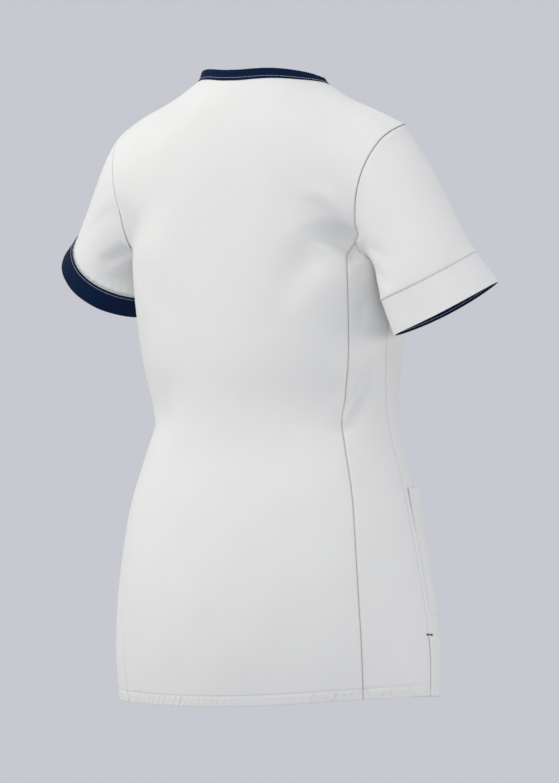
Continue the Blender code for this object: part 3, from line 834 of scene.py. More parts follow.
# %% Hems and turnings
def hem_relief(points):
    """Puckers across the hem with the line that its stitches press in, and the painted shade in
    the puckers' hollows.
    """
    up = run_along(points, 0)
    run = run_along(points, 1) + 0.4 * up
    within = bell(up - HEM_HEIGHT / 2, HEM_HEIGHT / 2, 4)
    pressed = bell(up - HEM_HEIGHT, HEM_PRESS_WIDTH)
    uneven = 0.60 + 0.40 * np.sin(run / 37 + 1.5 * np.sin(run / 83))
    pucker = uneven * within * ripple(run, HEM_PUCKER_SPACING)
    return HEM_PUCKER * pucker - HEM_PRESS * pressed, HEM_SHADE * np.clip(-pucker, 0, 1)


def turned_up(points, normals, rows):
    """The grid with its first rows turned up inside, as a hem is."""
    radius = (CLOTH + LAYER_GAP) / 2
    inside = points[rows::-1] - normals[rows::-1] * 2 * radius
    down = unit(points[0] - points[1])
    turns = np.linspace(-math.pi / 2, math.pi / 2, 5)[1:-1]
    fold = [
        points[0] - normals[0] * radius + (down * math.cos(t) + normals[0] * math.sin(t)) * radius
        for t in turns
    ]
    return np.concatenate([inside, np.array(fold), points])


def slit_strip(points, normals):
    """The strip turned in along a slit, behind a side panel's last column and clear of its hem."""
    rows = np.nonzero(points[:, -1, 2] < SLIT_TOP_Z + SLIT_ABOVE)[0][1:]
    away = distance_to(points, "last_column")
    count = int((away[len(rows) // 2] <= SLIT_TURNING + 0.5).sum())
    depth = 2 * (CLOTH + LAYER_GAP)
    return (points - normals * depth)[rows, : -1 - count : -1]


def eased(points, levels):
    """The grid with its turn from rings to armholes made softer, except at the side itself."""
    inside = float(BODY_AT["half_width"](0.0)) - EASE_MARGIN - np.abs(points[..., 0])
    weight = bell(levels, EASE_LEVEL) * smoothstep(inside / EASE_WIDTH)
    for _ in range(EASE_ROUNDS):
        between = (points[:-2] + points[2:]) / 2
        points[1:-1] += weight[1:-1, :, None] * (between - points[1:-1]) / 2
    return points


print("hem height in mm:", HEM_HEIGHT)


# %% A finished panel
def outward_normals(points, side):
    """Grid normals, turned so that they point away from the body."""
    normals = grid_normals(points)
    middle = points[len(points) // 2, normals.shape[1] // 2]
    ahead = np.array((0.0, side, 0.0)) + middle * (1, 0, 0)
    return normals * np.sign((normals * ahead).sum(-1).mean())


def like(normals, known):
    """A sheet's normals, turned over if they oppose the known ones of its last rows."""
    return normals * np.sign((normals[-len(known) :] * known).sum())


placed = {}


def finish_panel(node, points, levels, side, seams, slit=False):
    """Each seam is an edge, the height of its puckers, its roll, and the weight of the painted
    shade along it.
    """
    normals = outward_normals(points, side)
    hem, painted_pucker_shade = hem_relief(points)
    relief = body_relief(points) + hem
    for edge, pucker, roll, weight in seams:
        relief += seam_relief(points, edge, pucker, roll)
    points = points + normals * (relief - CLOTH / 2)[..., None]
    normals = outward_normals(points, side)
    sheet = turned_up(points, normals, HEM_HEIGHTS.index(HEM_HEIGHT))
    # Painted shade along the seams, and in the hollows of the hem's puckers.
    shade = seam_shade(sheet, [(edge, weight) for edge, pucker, roll, weight in seams])
    shade[-len(points) :] = np.maximum(shade[-len(points) :], painted_pucker_shade)
    walls = [wall(sheet, normals=like(grid_normals(sheet), normals), shade=shade)]
    area = flat_area(sheet)
    if slit:
        strip = slit_strip(points, normals)
        walls.append(wall(strip))
        area += flat_area(strip)
    below_neck = len(HEM_HEIGHTS) + len(hem_levels) + low_count
    straight = np.linalg.norm(sheet[:, -1] - sheet[:, 0], axis=-1).max()
    below = run_along(sheet, 1)[:below_neck, -1].max() + SLIT_TURNING * slit
    flat = float(max(straight, below)), flat_size(sheet)[1]
    placed[node] = {"points": points, "normals": normals, "levels": levels[:, 0]}
    finish_sheet(node, walls, white_cloth, flat, area)


def finish_sheet(node, walls, material, flat, area):
    """Makes a sheet's mesh, hangs it from the root, hides the solid it stands for and prints its
    cut.
    """
    made = add_mesh(node + "_cloth", walls, material)
    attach(made, "root")
    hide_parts(node)
    flat[0] * MM
    flat[1] * MM
    cut = " x ".join(str(round(value)) for value in flat)
    print(f"{made.name}: cut {cut} mm, area {area * MM * MM:.3f} m2")


print("rows of a hem that are turned up:", HEM_HEIGHTS.index(HEM_HEIGHT))


# %% The two centre panels
def make_centre_panel(node, side):
    """A panel between two princess seams, up to the shoulder seams and the neck."""
    columns = centre_columns()[None, :]
    levels = np.concatenate([hem_levels, low_levels, upper_levels])[:, None]
    angles, at = centre_place(side, columns, levels)
    points = eased(body_point(side, angles, at), at)
    for edge in ("last_row", "first_column", "last_column"):
        set_back(points, edge, SEAM_GAP / 2)
    roll = np.where(levels > PRINCESS_TOP[side], ARMHOLE_ROLL, PRINCESS_ROLL)
    seams = [("last_row", NECK_PUCKER, SEAM_ROLL, 0.5)]
    seams += [(f"{end}_column", PRINCESS_PUCKER, roll, 1.0) for end in ("first", "last")]
    finish_panel(node, points, levels, side, seams)


for side in (BACK, FRONT):
    make_centre_panel(SIDE_WORD[side] + "_centre", side)


# %% The four side panels
def make_side_panel(node, side, hand):
    """A panel from princess seam to side seam, with a tip in the armhole and a slit below."""
    levels = np.concatenate([hem_levels, low_levels, upper_levels])
    top = PRINCESS_TOP[side]
    levels = np.append(levels[levels < top * TIP_FROM], top * TIP_CLOSENESS)[:, None]
    start = angle_of(side, princess_out(side, levels), levels)
    angles = start + (math.pi / 2 - start) * side_steps()[None, :]
    points = eased(body_point(side, hand * angles, levels), levels)
    set_back(points, "first_column", SEAM_GAP / 2)
    slit = points[:, -1, 2] < SLIT_TOP_Z
    set_back(points, "last_column", np.where(slit, SLIT_HALF_GAP, SEAM_GAP / 2))
    share = smoothstep(run_along(points, 1)[:, -1:] / TIP_WIDTH)
    roll = np.where(levels > 0, ARMHOLE_ROLL, SEAM_ROLL)
    seams = [("first_column", PRINCESS_PUCKER, PRINCESS_ROLL * share, 1.0)]
    seams += [("last_column", SIDE_PUCKER, roll * share, 0.3)]
    finish_panel(node, points, levels, side, seams, slit=True)


for hand in (LEFT, RIGHT):
    for side in (BACK, FRONT):
        make_side_panel(f"{SIDE_WORD[side]}_side_{HAND_WORD[hand]}", side, hand)

# %% [markdown]
# A sleeve joins an odd loop, the armhole, to a plain round cuff. Lofting between the two with
# straight lines would look like paper. So each column is a cubic curve that leaves the shoulder
# sideways, leaves the underarm almost along the arm, and arrives square to the cuff seam. Its
# first ring follows the edges that the finished panels really have, so that no gap opens. A last
# pass rounds the ridge below the shoulder point and the underarm, where a loft folds sharply.

# %% Armhole and cuff
SLEEVES = table(
    "hand x y z axis_x axis_y axis_z length turned",
    (RIGHT, 247.0, -12.0, -276.0, 0.400, -0.225, -0.890, 44.0, 0),
    (LEFT, 233.5, -39.9, -229.5, 0.598, -0.330, -0.731, 26.0, 1),
)
CUFF_HEIGHT, TURNED_LENGTH = 44.0, 26.0
CUFF_HALF_TOP, CUFF_HALF_BACK, CUFF_FLARE, CUFF_DIP = 68.0, 64.0, 6.3, 4.0
CUFF_UNDER_SHARE = 0.90
LEAVE_TOP, LEAVE_SIDE, LEAVE_UNDER = 0.74, 0.45, 0.38
LEAVE_REACH, ARRIVE_REACH = 0.6, 0.8
TOP_EASE, UNDER_EASE = 0.1, 0.6
ARMHOLE_POINTS, SLEEVE_ROWS = 96, 40
ROUND_TOP, ROUND_UNDER, ROUND_TIMES = 0.18, 0.40, 100
ROUND_FADES = (("first_row", 14.0), ("last_row", 20.0))
SLEEVE_LENGTH, SLEEVE_FADES = 90.0, (("last_row", 12.0), ("first_row", 6.0))
SHOULDER_FALL = -0.38


def worn_edge(side, hand, levels):
    """The edge along an armhole that the body's finished panels really have, creases and all."""
    pieces = "side_" + HAND_WORD[hand], "centre"
    low, high = (placed[f"{SIDE_WORD[side]}_{piece}"] for piece in pieces)
    by_side, above = low["levels"] > -1e-9, high["levels"] > PRINCESS_TOP[side]
    at = np.concatenate([low["levels"][by_side], high["levels"][above]])
    column = -1 if hand == LEFT else 0
    edge = [panel["points"] + panel["normals"] * CLOTH / 2 for panel in (low, high)]
    edge = np.concatenate([edge[0][by_side, -1], edge[1][above, column]])
    return np.stack([np.interp(levels, at, edge[:, k]) for k in range(3)], -1)


def armhole_loop(hand):
    """The sleeve's first ring, from the shoulder point down the back and up the front, and how
    far round from the shoulder each point lies, from 0 to 1 at the underarm and on to 2."""
    levels = np.linspace(0, 1, ARMHOLE_POINTS + 1)
    back = body_point(BACK, math.pi / 2, levels[::-1])
    front = body_point(FRONT, math.pi / 2, levels[1:-1])
    front_run = run_along(np.concatenate([back[-1:], front, back[:1]])[:, None], 0)[:, 0]
    back_run = run_along(back[:, None], 0)[:, 0]
    around = [back_run / back_run[-1], 1 + front_run[1:-1] / front_run[-1]]
    worn = [worn_edge(BACK, hand, levels[::-1]), worn_edge(FRONT, hand, levels)[1:-1]]
    return np.concatenate(worn), np.concatenate(around)


def sleeve_frame(row):
    """The cuff's centre, its axis, and its two directions: towards the top line and the back."""
    axis = unit(np.array((row["hand"] * row["axis_x"], row["axis_y"], row["axis_z"])))
    top = unit(np.array((0, 0, 1)) - axis[2] * axis)
    back = np.cross(axis, top)
    back *= np.sign(back[1])
    return np.array((row["hand"] * row["x"], row["y"], row["z"])), axis, top, back


def cuff_ring(row, around, along, out):
    """A ring of the cuff: along runs down from the cuff seam, out is measured from its face."""
    centre, axis, top, back = sleeve_frame(row)
    flare, turn = along / CUFF_HEIGHT, math.pi * around[:, None]
    under = np.where(np.cos(turn) < 0, CUFF_UNDER_SHARE, 1.0)
    half_top = (CUFF_HALF_TOP + CUFF_FLARE * flare) * under + out
    half_back = CUFF_HALF_BACK + CUFF_FLARE * flare + out
    middle = centre + axis * (along - row["length"] + CUFF_DIP * np.sin(turn) ** 2)
    return middle + top * half_top * np.cos(turn) + back * half_back * np.sin(turn)


loop = armhole_loop(LEFT)[0][:, None]
print("armhole, all round in mm:", round(float(run_along(loop, 0)[-1, 0])))

# %% Creases and rounded ridges of a sleeve
SLEEVE_CREASES = table(
    "hand around_1 t_1 around_2 t_2 around_3 t_3 width depth",
    (LEFT, 0.80, -0.20, 0.74, 0.30, 0.66, 0.68, 10.0, 6.0),
    (LEFT, 1.00, -0.10, 0.88, 0.45, 0.80, 1.00, 21.0, 7.0),
    (LEFT, 0.52, 0.10, 0.46, 0.40, 0.42, 0.75, 9.0, 1.6),
    (LEFT, 1.10, 0.05, 1.24, 0.32, 1.34, 0.62, 11.0, 3.0),
    (LEFT, 1.40, 0.12, 1.52, 0.45, 1.60, 0.80, 12.0, 1.4),
    (RIGHT, 0.94, 0.05, 0.92, 0.36, 0.90, 0.80, 15.0, -6.5),
    (RIGHT, 0.80, 0.04, 0.70, 0.32, 0.62, 0.66, 10.0, 2.2),
    (RIGHT, 0.30, 0.30, 0.36, 0.62, 0.40, 0.98, 13.0, 1.2),
    (RIGHT, 0.86, 0.30, 0.80, 0.60, 0.76, 0.92, 9.0, 1.6),
    (RIGHT, 1.08, 0.05, 1.22, 0.30, 1.34, 0.60, 11.0, 3.0),
    (RIGHT, 1.44, 0.20, 1.54, 0.50, 1.60, 0.85, 13.0, 1.5),
)
SLEEVE_FULLNESS = 0.7


def sleeve_relief(points, row):
    """The creases of one sleeve, along lines through three places of its own grid."""
    relief = SLEEVE_FULLNESS * fullness(points)
    rows, columns = points.shape[:2]
    for crease in rows_of(SLEEVE_CREASES):
        if crease["hand"] == row["hand"]:
            around, t = through_three(crease, "around", "t")
            at_row = np.clip((t * (rows - 1)).round().astype(int), 0, rows - 1)
            at_column = (around / 2 * columns).round().astype(int) % columns
            path = points[at_row, at_column]
            relief -= crease["depth"] * crease_depth(points, path, crease["width"])
    return relief


def rounded(points, around):
    """The sleeve's grid with its ridges below the shoulder point and the underarm made round."""
    weight = bell(np.minimum(around, 2 - around), ROUND_TOP)
    weight = np.maximum(weight, bell(np.abs(around - 1), ROUND_UNDER, 4))
    for edge, fade in ROUND_FADES:
        weight = weight * smoothstep(distance_to(points, edge) / fade)
    for _ in range(ROUND_TIMES):
        points = points + weight[..., None] * (beside(points, 1) - points) / 2
    return points


print("creases placed on the sleeves:", len(SLEEVE_CREASES["hand"]))


# %% The two sleeves
def make_sleeve(node, row):
    """Columns that bend from the armhole to the cuff seam, with creases and both seams rolled."""
    start, around = armhole_loop(row["hand"])
    axis = sleeve_frame(row)[1]
    finish = cuff_ring(row, around, -SEAM_GAP / 2, 0.0)
    height = 0.5 + 0.5 * np.cos(math.pi * around)
    share = LEAVE_UNDER + (LEAVE_TOP - LEAVE_UNDER) * height
    share = np.maximum(share, LEAVE_SIDE * np.abs(np.sin(math.pi * around)))[:, None]
    leaving = unit(unit(np.array((row["hand"], 0, SHOULDER_FALL))) * share + axis * (1 - share))
    reach = np.linalg.norm(finish - start, axis=1)[:, None]
    late = near_the_end(np.linspace(0, 1, SLEEVE_ROWS), SLEEVE_LENGTH)
    t = np.concatenate([(1 - late)[:-1][::-1] / 2, 0.5 + late / 2])
    t = np.unique(t)[:, None, None]
    points = (2 * t**3 - 3 * t**2 + 1) * start + (3 * t**2 - 2 * t**3) * finish
    bends = (t**3 - 2 * t**2 + t) * leaving * LEAVE_REACH + (t**3 - t**2) * axis * ARRIVE_REACH
    points = rounded(points + bends * reach, around)
    set_back(points, "first_row", SEAM_GAP + TOP_EASE * height, closed=True)
    points[0, :, 0] += row["hand"] * UNDER_EASE * (1 - height) ** 2
    normals = grid_normals(points, closed=True) * -row["hand"]
    relief = sleeve_relief(points, row)
    fades = [bell(distance_to(points, edge), reach) for edge, reach in SLEEVE_FADES]
    relief = relief * (1 - np.maximum(*fades))
    relief += seam_relief(points, "first_row", SIDE_PUCKER, ARMHOLE_ROLL)
    relief += seam_relief(points, "last_row", CUFF_SEAM_PUCKER)
    points = points + normals * (relief - CLOTH / 2)[..., None]
    normals = grid_normals(points, closed=True) * -row["hand"]
    # Painted shade along the armhole seam and the cuff seam.
    shade = seam_shade(points, [("first_row", 0.3), ("last_row", 0.4)])
    flat, area = flat_size(points, True), flat_area(points, True)
    finish_sheet(node, [wall(points, True, normals, shade)], white_cloth, flat, area)


for row in rows_of(SLEEVES):
    make_sleeve("sleeve_" + HAND_WORD[row["hand"]], row)

# %% [markdown]
# Each cuff is a band of even width whose cross-section is a path: along the arm, and outwards
# from the sleeve's face. The right cuff is turned down, white outside with a navy facing behind
# it. The left cuff is folded up at its middle, so its navy facing shows outside. The same
# function makes all four layers by following different paths.

# %% Cuffs and their facings
CUFF_STEP = 1.6
CUFF_PUCKER, CUFF_PUCKER_SPACING = 0.55, 8.5
CUFF_WAVE, CUFF_WAVE_FROM = 0.55, 26.0
CUFF_TURNING, CUFF_EDGE, FACING_EDGE, FOLD_ROOM = 6.0, 0.3, 0.5, 0.4
CUFF_START = 1.5
FACING_GAP = 0.25
EDGE_STITCH = 2.4


def even_path(corners, step=CUFF_STEP):
    """Places along a path of straight runs, at most a step apart, keeping its corners."""
    corners = np.array(corners, float)
    places = [corners[:1]]
    for start, end in zip(corners[:-1], corners[1:]):
        count = max(1, math.ceil(np.linalg.norm(end - start) / step))
        places.append(start + (end - start) * np.linspace(0, 1, count + 1)[1:, None])
    return np.concatenate(places)


def turned(down_at, up_at, start, top, fold_at):
    """Down the arm to the fold, round it, and up again, at two distances from the cuff's face."""
    radius, middle = (up_at - down_at) / 2, (up_at + down_at) / 2
    turns = np.linspace(-math.pi / 2, math.pi / 2, 9)
    fold = [(fold_at + radius * math.cos(t), middle + radius * math.sin(t)) for t in turns]
    return even_path([(start, down_at), *fold, (top, up_at)])


def cuff_wave(around, along):
    """The soft unevenness of a cuff's round, which dies away towards its seam."""
    turn = math.pi * around
    waves = np.sin(2 * turn + 0.6) + 0.6 * np.sin(5 * turn + 1.9) + 0.35 * np.sin(11 * turn)
    return CUFF_WAVE * waves * smoothstep(along / CUFF_WAVE_FROM)


def make_cuff(node, row, path, material, pucker):
    """One layer of a cuff, whose cross-section follows the path all round."""
    around = armhole_loop(row["hand"])[1]
    run = around * math.pi * CUFF_HALF_TOP
    rings = []
    for along, out in path:
        small = pucker * bell(along, PUCKER_REACH) * ripple(run, CUFF_PUCKER_SPACING)
        far = (out + small + cuff_wave(around, along))[:, None]
        rings.append(cuff_ring(row, around, along, far))
    points = np.array(rings)
    normals = grid_normals(points, closed=True)
    outward = points[0, 0] - points[0].mean(0)
    ends_inside = path[-1, 1] < path[0, 1]
    normals *= np.sign(normals[0, 0] @ outward) * (-1 if ends_inside else 1)
    flat, area = flat_size(points, True), flat_area(points, True)
    finish_sheet(node, [wall(points, True, normals)], material, flat, area)
    placed[node] = {"points": points, "normals": normals, "path": path}


def make_cuffs(word, row):
    """The white layer and the navy facing of one cuff, turned up or down."""
    face = -CLOTH / 2
    behind = face - 2 * CLOTH - 2 * FACING_GAP
    if row["turned"]:
        outer = face + CLOTH + FACING_GAP + FOLD_ROOM
        over = outer + CLOTH + FACING_GAP + FOLD_ROOM / 2
        white = turned(face, outer, SEAM_GAP / 2, CUFF_START, TURNED_LENGTH)
        navy = turned(face - CLOTH - FACING_GAP, over, CUFF_START, 0.0, TURNED_LENGTH)
    else:
        inner = face - CLOTH - 0.1
        top, fold_at = CUFF_HEIGHT - CUFF_TURNING, CUFF_HEIGHT - CUFF_EDGE
        white = turned(face, inner, SEAM_GAP / 2, top, fold_at)
        navy = even_path([(CUFF_START, behind), (CUFF_HEIGHT - FACING_EDGE, behind)])
    make_cuff("cuff_" + word, row, white, white_cloth, CUFF_PUCKER)
    make_cuff("cuff_facing_" + word, row, navy, navy_cloth, 0.0)


for row in rows_of(SLEEVES):
    make_cuffs(HAND_WORD[row["hand"]], row)

# %% [markdown]
# The neck band is a strip folded over the neck edge. Behind the neck it stands up; down the V it
# lies in the cloth, and its two ends meet in a mitre at the foot. It is built round the edge
# that the centre panels really have after their seams were rolled, so it covers that edge. Where
# it turns from standing to lying, its directions are averaged with their neighbours', which
# softens the corner.

# %% The neck band
BAND_HEIGHT, BAND_LEAN, BAND_END_FALL = 11.5, 0.15, 0.50
BAND_FEET, BAND_FULL = ((1.9, 0.5), (0.9, 0.66), (1.9, -0.75)), 0.62
BAND_SMALLEST, BAND_CORNER, BAND_ROUNDS = 0.04, 16.0, 16
BAND_NARROWED_FRONT, BAND_NARROWED_BACK, BAND_NARROWED_OVER = 0.25, 0.15, 11.0
BAND_WAVE, BAND_WAVE_SPACING = 0.12, 17.0
BAND_RISE = [(0.5, 0.7), (2.0, 0.62), (4.0, 0.55), (6.0, 0.5), (8.0, 0.48), (10.0, 0.45)]
BAND_RISE += [(BAND_HEIGHT - 0.7, 0.42), (BAND_HEIGHT - 0.2, 0.25), (BAND_HEIGHT, 0.0)]
BAND_PROFILE = BAND_RISE + [(height, -full) for height, full in BAND_RISE[-2::-1]]


def neck_edge():
    """The neck edge all round, with the cloth's direction down from it and its normals."""
    neck = np.abs(centre_columns()) <= NECK_SHARE + 1e-9
    back, front = (placed[SIDE_WORD[side] + "_centre"] for side in (BACK, FRONT))
    parts = []
    for panel, order in ((back, slice(None)), (front, slice(-2, 0, -1))):
        points, normals = panel["points"][:, neck][:, order], panel["normals"][:, neck][:, order]
        down, face = unit(points[-EDGE_ROWS - 1] - points[-2]), normals[-EDGE_ROWS]
        parts.append((points[-1] + face * SEAM_ROLL, down, face))
    return [np.concatenate(pair) for pair in zip(*parts)], int(neck.sum())


def make_neck_band():
    """The band as a closed profile set at every point of the neck edge.

    up is the way it stands there, which falls towards the cloth down the V. out is its thickness.
    reach makes it narrower where it would cross itself at the foot of the V.
    """
    (edge, down, face), back_count = neck_edge()
    ahead, behind = unit(np.roll(edge, -1, axis=0) - edge), unit(edge - np.roll(edge, 1, axis=0))
    along = unit(ahead + behind)
    lying = unit(np.cross(along, face))
    inward = unit(edge * (-1, -1, 0) + (0, NECK_Y, 0))
    standing = unit(np.array((0, 0, 1)) + BAND_LEAN * inward)
    front = (np.arange(len(edge)) >= back_count)[:, None]
    down_front = np.clip(-edge[:, 2:] / V_NECK_DEPTH * 3, 0, 1)
    at_end = np.minimum(np.abs(edge[:, :1]) / HALF_NECK, 1) ** 5
    fall = BAND_END_FALL + (1 - BAND_END_FALL) * down_front
    fall = np.where(front, fall, BAND_END_FALL * at_end)
    up = standing * (1 - fall) + lying * fall
    up = unit(up - dot(up, along) * along)
    out = unit(np.cross(up, along))
    out *= np.sign(dot(out, face))
    to_centre = np.abs(edge[:, :1]) / np.maximum(-up[:, :1] * np.sign(edge[:, :1]), 1e-6)
    room = np.where(front & (up[:, :1] * edge[:, :1] < 0), to_centre / BAND_HEIGHT, 1.0)
    narrowed = BAND_NARROWED_FRONT * bell(edge[:, 2:], BAND_NARROWED_OVER)
    narrowed = np.where(front, narrowed, BAND_NARROWED_BACK * at_end)
    reach = np.clip(room, BAND_SMALLEST, 1.0) * (1 - narrowed)
    corner = bell(edge[:, 2:], BAND_CORNER)
    for _ in range(BAND_ROUNDS):
        kinds = (up, out, reach)
        up, out, reach = (kind + corner * (beside(kind, 0) - kind) / 2 for kind in kinds)
    feet = [edge + down * below * reach + face * off for below, off in BAND_FEET]
    rise = [edge + (up * height + out * full * BAND_FULL) * reach for height, full in BAND_PROFILE]
    points = np.array(feet[:2] + rise + feet[2:])
    waves = BAND_WAVE * ripple(run_along(points, 1), BAND_WAVE_SPACING)
    waves[:2] *= 0.3
    points += waves[..., None] * out
    normals = grid_normals(points, closed=True)
    normals *= np.sign((normals[5] * out).sum(-1).mean())
    area, width = flat_area(points, True), flat_size(points, True)[1]
    length = max(float(np.median(run_along(joined(points), 1)[:, -1])), area / width / 0.98)
    walls = [wall(points, True, normals)]
    finish_sheet("neck_band", walls, navy_cloth, (length, width), area)
    placed["neck_band"] = {"points": points, "normals": normals}


make_neck_band()

# %% [markdown]
# A patch pocket is a flat piece with its edges turned in, sewn down along its sides and foot. It
# is made from the same places as the panels under it and moved out by the cloth's thickness, so
# it lies on them everywhere, and only its mouth gapes a little.

# %% The two pockets
POCKET_TOP_Z, POCKET_BOTTOM_Z = -488.0, -640.0
POCKET_GAPE, POCKET_CORNER_SHARE = 9.0, 0.25
POCKET_INNER_SHARE, POCKET_OUTER_STEP = NECK_SHARE + (1 - NECK_SHARE) / 3, 0.94
POCKET_HEM, POCKET_LIFT, POCKET_EDGE_LIFT = 22.0, 1.15, 0.62
POCKET_PRESS, POCKET_PUCKER, POCKET_PUCKER_SPACING = 0.30, 0.22, 9.0
POCKET_ROWS, POCKET_HEM_ROWS, POCKET_INNER_COLUMNS, POCKET_OUTER_COLUMNS = 46, 6, 16, 28


def pocket_angles(levels):
    """Across the pocket: over the centre panel, past the princess seam, onto the side panel."""
    over_centre = np.linspace(0, 1, POCKET_INNER_COLUMNS)[None, :-1]
    inner = POCKET_INNER_SHARE + (1 - POCKET_INNER_SHARE) * over_centre
    centre = angle_of(FRONT, inner * princess_out(FRONT, levels), levels)
    start = angle_of(FRONT, princess_out(FRONT, levels), levels)
    over_side = np.linspace(0, 1, POCKET_OUTER_COLUMNS)[None, :]
    side = start + (math.pi / 2 - start) * POCKET_OUTER_STEP * over_side
    return np.concatenate([centre, side], axis=1)


def make_pocket(node, hand):
    """A patch on the front's own surface, pressed in at its stitches and gaping at its mouth."""
    low, high = level_of(POCKET_BOTTOM_Z), level_of(POCKET_TOP_Z)
    height = np.linspace(0, 1, POCKET_ROWS)[:, None]
    levels = low + (high - low) * height
    points = body_point(FRONT, hand * pocket_angles(levels), levels)
    across = run_along(points, 1)
    across = across / across[:, -1:]
    normals = outward_normals(points, FRONT)
    bulge = np.sin(math.pi * np.clip(across, 0, 1)) ** 1.2 * height**3.2
    gape = POCKET_GAPE * np.maximum(bulge, POCKET_CORNER_SHARE * across**3 * height**7)
    edges = [distance_to(points, edge) for edge in ("first_row", "first_column", "last_column")]
    near = np.minimum.reduce(edges)
    below_top = distance_to(points, "last_row")
    pressed = POCKET_PRESS * bell(near - EDGE_STITCH, 1.0)
    pressed += POCKET_PRESS * bell(below_top - POCKET_HEM, 1.2)
    small = POCKET_PUCKER * bell(near, PUCKER_REACH)
    small = small * ripple(across * 180 + points[..., 2], POCKET_PUCKER_SPACING)
    lift = POCKET_EDGE_LIFT + (POCKET_LIFT - POCKET_EDGE_LIFT) * smoothstep(near / 5.0)
    lift = lift + body_relief(points) + gape - pressed + small
    points = points + normals * (lift - CLOTH / 2)[..., None]
    normals = outward_normals(points, FRONT)
    sheet = turned_up(points[::-1], normals[::-1], POCKET_HEM_ROWS)
    walls = [wall(sheet, normals=like(grid_normals(sheet), normals[::-1]))]
    finish_sheet(node, walls, white_cloth, flat_size(sheet), flat_area(sheet))
    placed[node] = {"points": points, "normals": normals}


for hand in (LEFT, RIGHT):
    make_pocket("pocket_" + HAND_WORD[hand], hand)

# %% [markdown]
# Hundreds of stitches follow seams, hems and edges. Placing them one by one would be slow, and a
# texture would be flat. Geometry Nodes do it well: a tree takes lines that carry the cloth's own
# direction, spaces points along them, and sets one small stitch on each, lying along the line.
# The bar tacks that keep the slits from tearing are one thread that runs to and fro, so a second
# tree sweeps a round thread along a zigzag.


# %% A tree that sews
def new_tree(name, inputs):
    """An empty geometry tree, its named inputs as sockets, and its last node."""
    tree = bpy.data.node_groups.new(name, "GeometryNodeTree")
    tree.is_modifier = True
    inputs = {"Geometry": "Geometry"} | inputs
    for label, kind in inputs.items():
        tree.interface.new_socket(label, in_out="INPUT", socket_type="NodeSocket" + kind)
    tree.interface.new_socket("Geometry", in_out="OUTPUT", socket_type="NodeSocketGeometry")
    first, last = tree.nodes.new("NodeGroupInput"), tree.nodes.new("NodeGroupOutput")
    return tree, {label: Socket(tree, first.outputs[label]) for label in inputs}, last


def end_tree(tree, last, thread_mesh, material):
    """Gives the sewn thread its material and hands it out of the tree."""
    finish = {"Geometry": thread_mesh, "Material": material}
    done = thread_mesh.node("GeometryNodeSetMaterial", (), finish)
    tree.links.new(done.socket, last.inputs[0])
    return tree


def stitch_tree():
    """Beads of thread at even steps along a line. Each lies along the line, flat on the cloth."""
    sizes = {"Pitch": "Float", "Stitch length": "Float", "Thread width": "Float"}
    tree, given, last = new_tree("row_of_stitches", sizes | {"Thread": "Material"})
    line = given["Geometry"]
    curve = line.node("GeometryNodeMeshToCurve", (), {0: line})
    spaced = {"Curve": curve, "Length": given["Pitch"]}
    even = line.node("GeometryNodeResampleCurve", {"mode": "LENGTH"}, spaced)
    tangent = line.node("GeometryNodeInputTangent")
    settings = {"data_type": "FLOAT_VECTOR"}
    face = line.node("GeometryNodeInputNamedAttribute", settings, {"Name": "cloth_face"})
    align = "FunctionNodeAlignRotationToVector"
    laid = line.node(align, {"axis": "X"}, {"Vector": tangent})
    lying = line.node(align, {"axis": "Z", "pivot_axis": "X"}, {"Rotation": laid, "Vector": face})
    bead = line.node("GeometryNodeMeshUVSphere", (), {"Segments": 6, "Rings": 4, "Radius": 0.5})
    sizes = {0: given["Stitch length"], 1: given["Thread width"], 2: given["Thread width"]}
    size = line.node("ShaderNodeCombineXYZ", (), sizes)
    stitch = line.node("GeometryNodeTransform", (), {"Geometry": bead, "Scale": size})
    placing = {"Points": even, "Instance": stitch, "Rotation": lying}
    sewn = line.node("GeometryNodeInstanceOnPoints", (), placing)
    solid = line.node("GeometryNodeRealizeInstances", (), {0: sewn})
    smooth = line.node("GeometryNodeSetShadeSmooth", (), {0: solid})
    return end_tree(tree, last, smooth, given["Thread"])


sewing = stitch_tree()
print("nodes in the tree that sews:", len(sewing.nodes))


# %% A tree for the bar tacks' thread
def tack_tree():
    """One thread that runs to and fro along a zigzag."""
    tree, given, last = new_tree("zigzag_thread", {"Thread width": "Float", "Thread": "Material"})
    line = given["Geometry"]
    curve = line.node("GeometryNodeMeshToCurve", (), {0: line})
    shape = {"Resolution": 6, "Radius": given["Thread width"] * 0.5}
    ring = line.node("GeometryNodeCurvePrimitiveCircle", (), shape)
    tube = line.node("GeometryNodeCurveToMesh", (), {0: curve, 1: ring, "Fill Caps": True})
    solid = line.node("GeometryNodeRealizeInstances", (), {0: tube})
    return end_tree(tree, last, solid, given["Thread"])


tacking = tack_tree()
print("nodes in the tree that tacks:", len(tacking.nodes))


# %% Running a tree over lines
def lines_object(name, lines):
    """Polylines with the cloth's direction stored at each point."""
    verts, edges, faces_out = [], [], []
    for points, normals, closed in lines:
        base, count = len(verts), len(points)
        verts += (points * MM).tolist()
        faces_out += normals.tolist()
        edges += [(base + i, base + i + 1) for i in range(count - 1)]
        if closed:
            edges.append((base + count - 1, base))
    data = bpy.data.meshes.new(name)
    data.from_pydata(verts, edges, [])
    stored = data.attributes.new("cloth_face", "FLOAT_VECTOR", "POINT")
    stored.data.foreach_set("vector", np.array(faces_out, np.float32).ravel())
    return in_scene(name, data)


